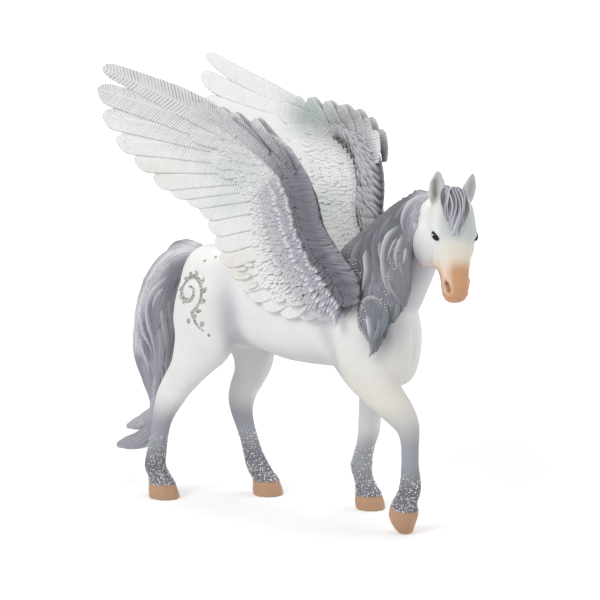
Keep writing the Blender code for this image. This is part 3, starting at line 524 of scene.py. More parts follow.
def fused(parts, voxel):
    """The outer skin of overlapping surfaces, read off a grid of one voxel size: corners and quads."""
    item = bpy.data.objects.new("melt", mesh_from("melt", *merged(parts)))
    bpy.context.scene.collection.objects.link(item)
    melt = item.modifiers.new("melt", "REMESH")
    melt.mode = "VOXEL"
    melt.voxel_size = voxel * MM
    done = bpy.data.meshes.new_from_object(item.evaluated_get(bpy.context.evaluated_depsgraph_get()))
    corners, _ = corners_of(done)
    quads = np.empty(len(done.loops), dtype=np.int32)
    done.loops.foreach_get("vertex_index", quads)
    bpy.data.objects.remove(item)
    bpy.data.meshes.remove(done)
    return corners, quads.reshape(-1, 4)


def relaxed(mesh, corners, passes, share=0.5):
    """Each pass moves a corner by its share of the way to the mean of its neighbours."""
    ends = np.empty(len(mesh.edges) * 2, dtype=np.int32)
    mesh.edges.foreach_get("vertices", ends)
    first, second = ends.reshape(-1, 2).T
    count = np.bincount(ends, minlength=len(corners))
    share = np.broadcast_to(share, (len(corners),))[:, None]
    for _ in range(passes):
        total = np.stack([np.bincount(first, corners[second, k], len(corners))
                          + np.bincount(second, corners[first, k], len(corners)) for k in range(3)], 1)
        corners = corners + (total / count[:, None] - corners) * share
    return corners


def path_distance(points, path):
    """How far each point is from a path, and how far along the path its nearest place is."""
    best, along, run = np.full(len(points), np.inf), np.zeros(len(points)), 0.0
    for start, end in zip(path[:-1], path[1:]):
        step = end - start
        t = np.clip((points - start) @ step / (step @ step), 0, 1)
        away = np.linalg.norm(points - start - step * t[:, None], axis=1)
        along = np.where(away < best, run + t * np.linalg.norm(step), along)
        best = np.minimum(best, away)
        run += np.linalg.norm(step)
    return best, along / run


def pressed(corners, normals, path, width, depth, facing=None):
    """A groove: corners move in by depth · exp(-(distance / width)²), less towards the path's ends."""
    away, along = path_distance(corners, np.asarray(path, dtype=float))
    push = depth * np.exp(-((away / width) ** 2)) * np.sin(np.pi * np.clip(along, 0.08, 0.92)) ** 0.5
    if facing is not None:
        push = push * smoothstep(0.0, 0.4, normals @ facing)
    return corners - normals * push[:, None]


def both_sides(path):
    """The path on the horse's right, and its mirror image on the left."""
    path = np.asarray(path, dtype=float)
    return [path, path * np.array([1.0, -1.0, 1.0])]


def head_paths(path):
    """A path given by down, out and left on the head's right side, and its mirror image."""
    path = np.asarray(path, dtype=float)
    return [POLL + (path * np.array([1.0, 1.0, side])) @ HEAD_AXES for side in (1.0, -1.0)]


# The eye, as down, out and left from the poll: its back corner, its middle and its front corner
EYE_BACK, EYE_MIDDLE, EYE_FRONT = (10.5, 0.35, -6.75), (11.95, 1.55, -6.45), (13.4, 2.6, -5.7)
EYE_NORMAL = np.array([0.22, 0.42, -0.88])
EYE_HALF_HEIGHT = 1.1

muscles = []
for side in (-1.0, 1.0):
    muscles.append(ball(np.array([HIP - 5.0, 8.6 * side, 62.0]), (12.0, 6.0, 11.0), np.eye(3)))
    muscles.append(ball(np.array([SHOULDER + 3.0, 8.0 * side, 62.0]), (9.0, 5.6, 11.0), np.eye(3)))
    muscles.append(ball(head_point(12.6, -8.0, 5.4 * side), (7.4, 6.8, 3.6), HEAD_AXES))
    muscles.append(ball(head_point(11.8, 1.4, 4.5 * side), (2.9, 2.3, 2.3), HEAD_AXES))
    muscles.append(ball(head_point(26.3, 1.4, 1.8 * side), (3.0, 2.1, 1.9), HEAD_AXES))
skin_corners, skin_quads = fused(
    [trunk(), neck(), skull(), ear(1), ear(-1)] + [leg(*table) for table in LEG_TABLES] + muscles, SKIN_VOXEL)
skin = mesh_from("horse_body", skin_corners, skin_quads, np.zeros((0, 3), dtype=int))
corners, _ = corners_of(skin)
hoof_part = smoothstep(9.0, 5.0, corners[:, 2])
head_part = smoothstep(2.0, 8.0, (corners - POLL) @ FACE_OUT + 11.0)
corners = relaxed(skin, corners, 16, 0.5 * (1 - 0.7 * hoof_part) * (1 - 0.55 * head_part))
set_corners(skin, corners)

# The head's faces are cut in four, for the finer carving of the face
fine = bmesh.new()
fine.from_mesh(skin)
centre = (corners - POLL) @ HEAD_AXES.T
in_head = (centre[:, 1] > -6.0) & (centre[:, 0] > -12.0) & (centre[:, 0] < 33.0)
edges = [edge for edge in fine.edges if in_head[edge.verts[0].index] and in_head[edge.verts[1].index]]
bmesh.ops.subdivide_edges(fine, edges=edges, cuts=1, use_grid_fill=True)
bmesh.ops.triangulate(fine, faces=[face for face in fine.faces if len(face.verts) > 4])
fine.to_mesh(skin)
fine.free()
skin.update()
corners, normals = corners_of(skin)
head_part = smoothstep(-6.5, -3.0, (corners - POLL) @ FACE_OUT)
head_part = head_part * smoothstep(-2.0, 2.0, POLL[2] - corners[:, 2] + 8.0)
set_corners(skin, relaxed(skin, corners, 4, 0.5 * head_part))
corners, normals = corners_of(skin)

def carved(corners, normals, creases, places_of):
    """The corners after a list of grooves, each a path, a width and a depth, on both sides."""
    for crease, width, depth in creases:
        for path in places_of(crease):
            corners = pressed(corners, normals, path, width, depth)
    return corners


# Creases of the trunk: flank, elbow, shoulder, haunch and the middle of the chest
FLANK_CREASE = [(-17.5, -10.0, 74.5), (-14.6, -12.6, 69.0), (-12.6, -13.6, 63.0), (-12.2, -13.0, 57.5),
                (-11.6, -10.6, 52.5), (-9.5, -7, 49)]
TRUNK_CREASES = [
    (FLANK_CREASE, 2.6, 0.9),
    ([(24, -13.6, 63), (25.4, -13.4, 57), (26.8, -12.8, 52), (27.5, -10.5, 48)], 1.7, 0.6),
    ([(45.6, -6.6, 63), (47, -6, 56), (47.2, -6.6, 50), (46.6, -7.4, 45)], 1.4, 0.6),
    ([(-29, -12.6, 62), (-30.5, -12, 55), (-31.5, -11.2, 48)], 2.2, 0.45),
]
corners = carved(corners, normals, TRUNK_CREASES, both_sides)
corners = pressed(corners, normals, [(47.6, 0.0, 62.0), (48.0, 0.0, 55.0), (46.4, 0.0, 48.0)], 1.2, 0.6)
set_corners(skin, corners)
corners, normals = corners_of(skin)

# The face: lids above and below, eye sockets, the bony ridge, the hollow beside the nose, the jaw
FACE_CREASES = [
    ([(9.3, -0.4, -7.1), (10.6, 1.9, -6.9), (12.6, 3.3, -6.1)], 0.75, -0.42),
    ([(9.9, 0, -6.9), (11.4, 0.2, -6.9), (13.2, 1.2, -6.5), (14.2, 2.8, -5.7)], 0.6, -0.22),
    ([EYE_BACK, EYE_MIDDLE, EYE_FRONT], 0.85, 0.75),
    ([(14.6, -0.6, -6.1), (17.4, 0, -5.4), (20.6, 0.6, -4.6), (23, 1, -4.1)], 0.9, -0.4),
    ([(14.4, 2.6, -5), (17.6, 2.9, -4.4), (21, 2.9, -3.8)], 0.9, 0.3),
    ([(20.5, -6, -5.4), (18, -9, -5.6), (14, -10.5, -5.6)], 0.9, 0.25),
]
set_corners(skin, carved(corners, normals, FACE_CREASES, head_paths))
corners, normals = corners_of(skin)
NOSTRIL_RIM_PATH = [(26.3, 0.6, -4.2), (24.9, 1.6, -3.8), (25.3, 3.0, -3.2), (27.0, 3.6, -3.0),
                    (28.4, 3.2, -3)]
NOSTRIL_PATH = [(26.0, 1.7, -3.9), (26.8, 2.2, -3.8), (27.8, 2.4, -3.6)]
MOUTH_PATH = [(27.4, -3.2, -4.2), (28.4, -1.6, -4.0), (29.4, 0.4, -3.2), (30.0, 1.8, -1.8), (30.2, 2.4, 0.0)]


def snapped(path):
    """The path moved onto the skin: each point goes to the nearest corner."""
    return np.array([corners[np.argmin(np.linalg.norm(corners - point, axis=1))] for point in path])


def ear_hollow(side, depth, reaches):
    """Which way an ear opens, and a path up its hollow: its depth from the ear's middle, its reaches."""
    opening = unit(HEAD_HEADING + HEAD_LEFT * 0.35 * side)
    root = head_point(1.6, -1.0, 4.6 * side) + opening * depth
    return opening, [root + ear_lean(side) * reach for reach in reaches]


nostril_rims, nostrils, mouths = ([snapped(path) for path in head_paths(places)] for places in (
    NOSTRIL_RIM_PATH, NOSTRIL_PATH, MOUTH_PATH))
MUZZLE_CREASES = [(nostril_rims, 0.6, -0.5), (nostrils, 0.8, 1.3), (mouths, 0.4, 0.3)]
corners = carved(corners, normals, MUZZLE_CREASES, list)
for side in (-1.0, 1.0):
    opening, hollow = ear_hollow(side, 1.2, (0.8, 3.5, 6.2, 8.6))
    corners = pressed(corners, normals, hollow, 1.25, 1.25, opening)
set_corners(skin, corners)

# Paint of the body, from the wide coats to the small ones, several of them painted shade
WHITE = paint(243, 243, 241)
# Painted shade for the creases, the underside and the inner faces of the legs
PAINTED_SHADE_LILAC = paint(180, 177, 190)
WARM = paint(236, 232, 222)
LEG_GREY = paint(168, 170, 179)
LEG_DARK = paint(108, 109, 119)
HOOF_TAN = paint(202, 160, 130)
HOOF_EDGE = paint(206, 172, 140)
# Painted shade for the front and the far side of the face
FACE_PAINTED_SHADE = paint(214, 220, 216)
CREAM = paint(244, 236, 216)
PEACH = paint(250, 228, 210)
MUZZLE_TAN = paint(217, 165, 127)
NOSTRIL_DARK = paint(132, 82, 48)
# Painted highlight for the nostril's raised rim
NOSTRIL_RIM_HIGHLIGHT = paint(250, 202, 160)
# Painted shade for the hollow of the ears
EAR_HOLLOW_PAINTED_SHADE = paint(152, 154, 134)
EAR_LILAC = paint(206, 205, 216)
# Painted shade for the upper neck, and a deeper painted shadow for the mane's front edge
NECK_PAINTED_SHADE = paint(206, 206, 215)
MANE_EDGE_PAINTED_SHADOW = paint(150, 149, 165)


def near_path(points, path, width):
    """1 on a path, falling off as exp(-(distance / width)²)."""
    away, _ = path_distance(points, np.asarray(path, dtype=float))
    return np.exp(-((away / width) ** 2))


corners, normals = corners_of(skin)
x, y, z = corners.T
down, out, left = HEAD_AXES @ (corners - POLL).T
face = smoothstep(-12.5, -9.5, out) * smoothstep(-6.0, -2.0, down) * smoothstep(46.0, 52.0, x)
lower = 0.35 + 0.65 * smoothstep(72.0, 60.0, z)
flanks = both_sides([(-17.5, -10.0, 74.5), (-14.6, -12.6, 69.0), (-12.8, -13.6, 62.0), (-12.6, -13.0, 56.5),
                     (-12, -10.6, 52), (-10, -7, 48)])
elbows = both_sides([(23.6, -13.6, 61.0), (25.4, -13.2, 54.0), (27.0, -11.0, 48.0)])
belly = (smoothstep(56.0, 47.0, z) * smoothstep(-20.0, -8.0, x) * smoothstep(34.0, 24.0, x)
         * smoothstep(0.2, -0.6, normals[:, 2]))
inside = np.where(y > 0, -normals[:, 1], normals[:, 1])
mane_front = [(57.0, -10.0, 85.0), (55.0, -10.6, 77.0), (50.5, -11.0, 69.0), (45.0, -11.6, 61.0)]
# Painted shade: lilac in the flank and elbow creases, under the belly and on the inner faces of the legs
colour = coats(
    corners, WHITE, (WARM, 0.8 * smoothstep(60.0, 40.0, z) * smoothstep(24.0, 32.0, x)),
    *[(PAINTED_SHADE_LILAC, 0.8 * near_path(corners, path, 4.0) * lower) for path in flanks],
    *[(PAINTED_SHADE_LILAC, 0.5 * near_path(corners, path, 2.6)) for path in elbows],
    (PAINTED_SHADE_LILAC, 0.35 * belly), (PAINTED_SHADE_LILAC, 0.3 * smoothstep(0.1, 0.8, inside) * smoothstep(56.0, 44.0, z)),
    # Painted shade on the upper neck and painted shadow along the mane's front edge
    (NECK_PAINTED_SHADE, 0.6 * smoothstep(33.0, 40.0, x) * smoothstep(62.0, 70.0, z) * (1 - face)),
    (MANE_EDGE_PAINTED_SHADOW, 0.9 * near_path(corners, mane_front, 5.5)))

# Where each leg's grey starts and is full, and its hoof's upper edge: height and slope
ankles = [leg_rows(*table, 60) for table in LEG_TABLES]
FADES = [(34.0, 22.0), (33.0, 23.0), (27.0, 17.0), (41.0, 25.0)]
CORONETS = [(4.6, 0.0), (4.6, 0.0), (4.4, 0.0), (7.4, 0.16)]
owner = np.argmin([path_distance(corners, rows[:, :3])[0] for rows in ankles], axis=0)
hoof = np.zeros(len(corners))
for number, ((high, low), (coronet, slope)) in enumerate(zip(FADES, CORONETS)):
    own = (owner == number) & (z < 40.0)
    shade = smoothstep(high, low, z) * own
    colour = sprayed(colour, LEG_GREY, shade)
    colour = sprayed(colour, LEG_DARK, 0.85 * smoothstep(low - 2.0, low - 13.0, z) * own)
    line = coronet - slope * (x - ankles[number][-1, 0])
    hoof = np.maximum(hoof, smoothstep(line + 0.25, line - 0.25, z) * own)
colour = sprayed(colour, HOOF_TAN, hoof)
colour = sprayed(colour, HOOF_EDGE, 0.6 * hoof * smoothstep(1.6, 0.0, z))

front = np.maximum(smoothstep(-6.4, -4.0, left), smoothstep(19.0, 23.0, down))
shaded_far_muzzle = smoothstep(18.0, 23.0, down) * smoothstep(-3.9, -2.1, left - 0.25 * out + 0.6)
# Painted shade on the front of the face and on its far side, away from the key lamp
colour = sprayed(colour, FACE_PAINTED_SHADE, 0.9 * face * smoothstep(2.0, 4.2, out) * smoothstep(16.0, 10.0, down))
colour = sprayed(colour, FACE_PAINTED_SHADE, 0.85 * face * smoothstep(-1.0, 4.0, left) * smoothstep(24.0, 18.0, down))
colour = sprayed(colour, CREAM, 0.8 * face * smoothstep(12.0, 17.0, down) * front)
colour = sprayed(colour, PEACH, 0.9 * face * smoothstep(17.5, 21.5, down))
# The muzzle's own tan, partly painted shade: darker tan on its far side, pale peach on the lit near side
colour = sprayed(colour, MUZZLE_TAN, face * shaded_far_muzzle)
# A painted highlight on each nostril rim, then the dark nostrils and a faint mouth line
for paths, coat, share, width in ((nostril_rims, NOSTRIL_RIM_HIGHLIGHT, 0.85, 0.7), (nostrils, NOSTRIL_DARK, 1.2, 0.95),
                                  (mouths, NOSTRIL_DARK, 0.18, 0.3)):
    for path in paths:
        colour = sprayed(colour, coat, share * near_path(corners, path, width))
for side in (-1.0, 1.0):
    opening, hollow = ear_hollow(side, 0.6, (0.6, 3.5, 6.0, 8.0))
    front_of_ear = smoothstep(0.1, 0.6, normals @ opening)
    colour = sprayed(colour, EAR_LILAC, 0.8 * near_path(corners, hollow, 2.6) * front_of_ear)
    # Painted shade deep in the hollow, stronger on the right ear than on the left
    dark = near_path(corners, [point - HEAD_LEFT * 0.7 for point in hollow[:3]], 1.2)
    colour = sprayed(colour, EAR_HOLLOW_PAINTED_SHADE, (0.95 if side < 0 else 0.35) * dark * front_of_ear)
set_paint(skin, "paint", colour)
set_value(skin, "hoof", hoof)
set_value(skin, "bare_skin", face * smoothstep(20.0, 25.0, down))


def body_plastic():
    """Satin paint on plastic: the sprayed colours, a faint mottle, short hair strokes and fine grain."""
    material, output = new_material("painted_white_plastic")
    place = object_place(material)
    cloud = noise(material, 140.0, 5.0, Vector=place)
    mottle = ranged(material, cloud, 0.965, 1.03, 0.3, 0.75)
    upright = add_node(material, "ShaderNodeMapping", {"Vector": place, "Scale": (2600.0, 2600.0, 330.0),
                       "Rotation": (0.0, 0.12, 0.0)})
    hair = worked(material, "MULTIPLY", noise(material, 1.0, 3.0, Vector=upright.outputs[0]), 0.8)
    height = worked(material, "MULTIPLY_ADD", noise(material, 5200.0, 2.0, Vector=place), 0.25, hair)
    rough = ranged(material, cloud, 0.50, 0.60, 0.3, 0.7)
    return surfaced(material, output, {
        "Base Color": toned(material, attribute(material, "paint", "Color"), mottle),
        "Roughness": worked(material, "MULTIPLY_ADD", attribute(material, "hoof"), -0.12, rough),
        "Normal": bumped(material, height, 0.30, 0.00012), "Specular IOR Level": 0.4, "IOR": 1.46,
        "Subsurface Weight": 0.06, "Subsurface Radius": (1.0, 0.8, 0.6), "Subsurface Scale": 0.0008})


show(skin, body_plastic(), "horse_plastic", "horse")


# The eyes: small glossy black almonds, painted and varnished, set between the moulded lids.
# Each has a white dot near its upper edge, which is a painted highlight.
def eye(side):
    """An almond dome and its painted highlight dot: half height falls as (1 - t²)^0.8 from the middle to both
    corners.
    """
    flip = np.array([1.0, 1.0, side])
    back, middle_point, front, facing = ((np.array(v) * flip) @ HEAD_AXES for v in (
        EYE_BACK, EYE_MIDDLE, EYE_FRONT, EYE_NORMAL))
    facing = unit(facing)
    t = np.linspace(-1.0, 1.0, 34)
    bend = 1 - t**2
    spine = 0.5 * (front + back) + 0.5 * (front - back) * t[:, None]
    spine = spine + (middle_point - 0.5 * (front + back)) * bend[:, None] + POLL + facing * 0.02
    across = unit(np.cross(front - back, facing))
    half_height = EYE_HALF_HEIGHT * np.maximum(bend, 0.004) ** 0.8
    bulge = 0.7 * np.maximum(bend, 0.004) ** 0.6
    radii = np.stack([bulge, bulge * 0.6, half_height, half_height], 1)
    # The painted highlight: a small white dot on the varnish
    light = spine[13] + facing * 0.62 + UP * 0.10
    highlight_axes = np.array([facing, across, np.cross(facing, across)])
    dome = closed_tube(oval_rings(spine, facing, across, radii, 28))
    return dome, ball(light, (0.14, 0.30, 0.30), highlight_axes)


def eye_varnish():
    """Black varnish with faint brown-black flecks."""
    material, output = new_material("varnished_eye")
    flecks = noise(material, 1500.0, 3.0, Vector=object_place(material))
    return surfaced(material, output, {
        "Base Color": mixed(material, flecks, (0.002, 0.002, 0.002), (0.008, 0.006, 0.005)),
        "Roughness": 0.22, "Specular IOR Level": 0.25})


domes, lights = zip(eye(1.0), eye(-1.0))
show(mesh_from("eyes", *merged(domes)), eye_varnish(), "horse_plastic")
# The white dots are painted highlights, in the body's white paint
eye_highlight_mesh = mesh_from("eye_painted_highlights", *merged(lights))
set_value(eye_highlight_mesh, "hoof", np.zeros(len(eye_highlight_mesh.vertices)))
set_paint(eye_highlight_mesh, "paint", np.tile(WHITE, (len(eye_highlight_mesh.vertices), 1)))
show(eye_highlight_mesh, bpy.data.materials["painted_white_plastic"], "horse_plastic")

# The mane, forelock and tail: moulded locks that overlap, each with strands cut along it.
# They are sprayed grey-lilac, with painted shade in the grooves and a painted highlight on the ridges.
HAIR_ROW_STEP, GUIDE_ROWS = 0.86, 60
MANE_FACING, TAIL_FACING = unit([-0.20, -1.0, 0.30]), unit([-0.05, -1.0, 0.05])
MANE_GUIDES = [
    [(-2.5, -1, 83.5), (1, -7, 79.5), (6, -11.5, 75), (9.6, -13.2, 70.5),
     (9.4, -13.6, 66), (11, -14, 62), (13.5, -13.4, 58)],
    [(0, -0.6, 87), (3.2, -6, 83), (7.6, -10.4, 78), (11.2, -12.8, 73),
     (11.4, -13.6, 68), (12.6, -14, 63), (13.6, -13.8, 58.5), (11.6, -13.4, 53.6)],
    [(4, -0.6, 90.8), (6.4, -5.6, 86), (10, -9.6, 80.6), (13.8, -12.2, 75),
     (15, -13.2, 70), (15.2, -13.6, 64.6), (15.4, -12.6, 59.6), (13.6, -12, 55.6)],
    [(8, -1, 94.4), (10, -5.6, 89.4), (13, -8.8, 83.6), (17, -11.2, 78),
     (19, -12, 73), (18.2, -12, 67.6), (17, -11.4, 62.6)],
    [(12, -1.6, 97.6), (13.6, -5.8, 92.4), (16, -8.6, 86.6), (19.6, -10.6, 81),
     (21.4, -11.4, 76), (21.6, -11.2, 71), (19.8, -10.6, 66.4)],
    [(16.4, -2.4, 100.4), (17.6, -6.2, 95), (19.4, -8.8, 89.2), (21.4, -10.2, 83.8),
     (22.8, -10.8, 79), (23, -10.4, 74), (22, -9.6, 69.4)],
    [(21, -3.6, 102.4), (21.4, -7.4, 97.4), (21, -9.4, 91.8), (21.8, -10.2, 86.6),
     (22.8, -10.4, 81), (22.6, -10, 76)],
    [(25.6, -5, 103.8), (24, -8.4, 99.4), (23, -9.8, 94.4), (23, -10.2, 89.4),
     (24, -10, 84.4)],
]
FORELOCK_GUIDES = [
    [(-0.04, -2, -2.6), (0.01, 2.6, -3.6), (0.13, 5, -4.2), (0.30, 5.8, -4)],
    [(-0.05, -2, -1.6), (0.01, 3.2, -2.4), (0.14, 5.6, -2.8), (0.34, 6.2, -3)],
    [(-0.05, -2, 0), (0.01, 3.6, -0.2), (0.18, 6, -0.8), (0.44, 6.2, -2.8)],
    [(-0.04, -2, 1.4), (0.01, 3, 1.8), (0.14, 5.2, 1.8), (0.40, 5.9, -0.6)],
]
TAIL_GUIDES = [
    [(0.000, -0.4, 76.6), (0.135, -1, 77.2), (0.335, -1.4, 73.6), (0.541, -1.6, 66.4),
     (0.649, -1.8, 58.8), (0.692, -1.8, 50.6), (0.676, -1.6, 42), (0.616, -1.4, 33.4),
     (0.573, -1.2, 26), (0.649, -1, 20.4), (0.865, -0.8, 15.8)],
    [(0.000, -1.2, 75.8), (0.124, -2.2, 75.6), (0.281, -2.8, 71.8), (0.443, -3.2, 65.4),
     (0.541, -3.2, 58.2), (0.578, -3, 50.4), (0.557, -2.8, 42.4), (0.514, -2.4, 34),
     (0.503, -2, 26), (0.546, -1.6, 19.4), (0.708, -1.2, 13.6), (1.000, -0.8, 9.6)],
    [(0.000, -1.6, 75), (0.108, -2.8, 74.4), (0.222, -3.4, 70.2), (0.335, -3.6, 63.6),
     (0.411, -3.4, 56.4), (0.443, -3.2, 48.4), (0.438, -2.8, 40.6), (0.443, -2.4, 32.6),
     (0.449, -1.8, 25), (0.465, -1.2, 18.6), (0.557, -0.8, 14)],
    [(0.016, -1.2, 73.4), (0.086, -1.8, 72.4), (0.178, -2.2, 68.2), (0.259, -2.4, 61.4),
     (0.319, -2.2, 53.8), (0.346, -2, 46.2), (0.357, -1.8, 38.8), (0.389, -1.4, 32),
     (0.416, -1, 27)],
]
draw = np.random.default_rng(11)


def between_guides(guides, place):
    """A path between guide paths: at whole numbers it is a guide, and in between it blends two."""
    curves = np.stack([smooth_rows(guide, GUIDE_ROWS) for guide in guides])
    place = np.clip(place, 0, len(guides) - 1)
    low = int(min(np.floor(place), len(guides) - 2))
    share = place - low
    return curves[low] * (1 - share) + curves[low + 1] * share


def wavy(path, facing, across_swing, out_swing, turns, phase, lift):
    """The path with two sines added, one across it and one out of it, which grow from its root."""
    share = np.linspace(0, 1, len(path))
    along = tangents(path)
    across = unit(np.cross(along, facing))
    grow = np.sin(0.5 * np.pi * np.clip(share / 0.3, 0, 1))
    swing = across_swing * np.sin(2 * np.pi * turns * share + phase) * grow
    rise = (lift + out_swing * np.sin(2 * np.pi * turns * share + phase + 1.4)) * grow
    return path + across * swing[:, None] + facing * rise[:, None]


def tube_values(*grids):
    """Values kept for each corner of a closed tube, with those of its two end points."""
    return [np.concatenate([grid.ravel(), grid[0, :1], grid[-1, :1]]) for grid in grids]


def hair_frame(path, facing):
    """A path in even rows, with each row's share of its length, its outward and its cross way."""
    length = np.sum(np.linalg.norm(np.diff(path, axis=0), axis=1))
    rows = smooth_rows(path, max(12, int(length / HAIR_ROW_STEP)))
    along = tangents(rows)
    out = unit(facing - along * (along @ facing)[:, None])
    return length, rows, np.linspace(0, 1, len(rows)), out, np.cross(along, out)


def sections(rows, out, across, rise, breadth):
    """Rings round the rows: each point goes out by its rise and across by its breadth."""
    return rows[:, None] + out[:, None] * rise[..., None] + across[:, None] * breadth[..., None]


def lock(path, facing, width, thickness, strands, phase, point=0.10, sides=34, cut=0.30, pale=0.0, full=0.55):
    """A lock of hair: flat-oval rings along its path, which narrow from full to a point.

    The outward half of a ring is lowered by cut · (1 - cos(2π · strands · u)) / 2 of its height,
    where u runs across the lock and drifts along it. Returns the skin with its relief, the place
    across the lock, the place along it and the strength of its painted highlight.
    """
    length, rows, share, out, across = hair_frame(path, facing)
    swell = np.interp(share, [0, 0.1, 0.55, 0.85, 1.0], [0.75, 1.0, 0.37 + full, full, point])
    angle = np.linspace(0, 2 * np.pi, sides, endpoint=False)
    u = np.sin(angle)
    drift = 0.18 * np.sin(2 * np.pi * share + phase)[:, None]
    wave = 0.5 - 0.5 * np.cos(2 * np.pi * strands * (0.5 * u + drift) + phase)
    outer = np.clip(np.cos(angle) * 2.5, 0, 1)
    relief = 1 - wave * outer * min(1.0, cut / 0.30)
    depth = 0.5 * thickness * (0.12 + 0.88 * swell)[:, None] * (1 - cut * wave * outer)
    breadth = 0.5 * width * swell[:, None] * np.ones(sides)
    rings = sections(rows, out, across, depth * np.cos(angle), breadth * u)
    return closed_tube(rings), tube_values(
        relief, 0.5 * width * u + drift * 2.0, np.repeat(share[:, None] * length, sides, 1) + phase * 7.0,
        np.full(relief.shape, pale))


def hair_mesh(name, locks, colour_of):
    """One mesh of many locks; colour_of gives the paint from the corners, and crests get a painted highlight.
    """
    skin_part = merged([part for part, _ in locks])
    grids = [np.concatenate([values[k] for _, values in locks]) for k in range(4)]
    mesh = mesh_from(name, *skin_part)
    for label, values in zip(("relief", "across", "along"), grids):
        set_value(mesh, label, values)
    set_paint(mesh, "paint", sprayed(colour_of(skin_part[0]), RIDGE_PAINTED_HIGHLIGHT, grids[3]))
    return mesh


def hair_plastic(name, groove, ridge):
    """Satin plastic hair: the sprayed colour, with painted shade by groove and a painted highlight by ridge,
    from the relief.

    Fine streaks follow the strands: a noise that is long along the lock and short across it.
    """
    material, output = new_material(name)
    thin = worked(material, "MULTIPLY", attribute(material, "across"), 3.2)
    long = worked(material, "MULTIPLY", attribute(material, "along"), 0.11)
    vector = add_node(material, "ShaderNodeCombineXYZ", {0: thin, 1: long}).outputs[0]
    streak = noise(material, 1.0, 4.0, Vector=vector, Roughness=0.6)
    level = worked(material, "MULTIPLY_ADD", streak, 0.9, -0.45)
    height = worked(material, "ADD", attribute(material, "relief"), level, clamp=True)
    # Painted shade in the grooves and a painted highlight on the ridges
    tone = ranged(material, height, groove, ridge, interpolation_type="SMOOTHSTEP")
    return surfaced(material, output, {
        "Base Color": toned(material, attribute(material, "paint", "Color"), tone),
        "Roughness": ranged(material, streak, 0.40, 0.56),
        "Normal": bumped(material, streak, 0.5, 0.00022), "Specular IOR Level": 0.45})


HAIR_GREY = paint(126, 125, 134)
HAIR_DARK = paint(104, 103, 111)
HAIR_SLATE = paint(112, 120, 126)
HAIR_PALE = paint(196, 197, 206)
# Painted highlight for the crests of the folds
RIDGE_PAINTED_HIGHLIGHT = paint(216, 217, 224)
CREST_DROP, CREST_ROWS = 2.6, 14.0
SKIN_TREE = BVHTree.FromPolygons(corners.tolist(), [tuple(face.vertices) for face in skin.polygons])


def off_skin(path, lift):
    """The path with every point at least `lift` outside the skin, measured along its normal."""
    moved = []
    for point, least in zip(path, np.broadcast_to(lift, (len(path),))):
        place, normal, _, _ = SKIN_TREE.find_nearest(tuple(point))
        short = least - (point - np.array(place)) @ np.array(normal)
        moved.append(point + np.array(normal) * max(0.0, short))
    moved = np.array(moved)
    for _ in range(3):
        moved[1:-1] = 0.5 * moved[1:-1] + 0.25 * (moved[:-2] + moved[2:])
    return moved


def over_crest(path):
    """A path that starts beyond the crest and lies low over it, so that the lock wraps round it."""
    low = path - UP * (CREST_DROP * np.clip(1 - np.arange(len(path)) / CREST_ROWS, 0, 1)[:, None] ** 2)
    return np.concatenate([low[:1] + [[0.6, 4.4, -2.0]], low[:1] + [[0.2, 1.8, 0.0]], low])


def tree_of(locks):
    """A search tree over the skins of many locks."""
    spots, quads, fans = merged([part for part, _ in locks])
    return BVHTree.FromPolygons(spots.tolist(), quads.tolist() + fans.tolist())


def laid_on(tree, places, side=-1.0, sink=0.35):
    """Places (X, height) cast sideways onto the locks, and sunk in a little."""
    found = []
    for x, z in places:
        hit = tree.ray_cast((x, 60.0 * side, z), (0.0, -side, 0.0))[0]
        if hit is not None:
            found.append(np.array(hit) + np.array([0.0, -side * sink, 0.0]))
    return np.array(found)


def fold(path, facing, width, height, pale, crest=0.34):
    """A fold raised along a path: height · (1 - |u|)^1.5 across it, with a painted highlight on its crest.

    It swells over its first fifth and sinks away over its last two.
    """
    length, rows, share, out, across = hair_frame(path, facing)
    swell = np.interp(share, [0, 0.2, 0.6, 1.0], [0.08, 1.0, 0.9, 0.06])[:, None]
    u = np.concatenate([np.linspace(-1, 1, 21), np.linspace(0.8, -0.8, 5)])
    top = np.arange(len(u)) < 21
    rise = np.where(top, swell * height * (1 - np.abs(u)) ** 1.5, -0.8 * (0.2 + 0.8 * swell))
    rings = sections(rows, out, across, rise, 0.5 * width * (0.35 + 0.65 * swell) * u)
    relief = 1 - 0.25 * (0.5 - 0.5 * np.cos(6 * np.pi * u)) * np.ones(rise.shape)
    return closed_tube(rings), tube_values(
        relief, 0.5 * width * u * np.ones(rise.shape), np.repeat(share[:, None] * length, len(u), 1) + length,
        pale * swell * np.exp(-((u / crest) ** 2)))
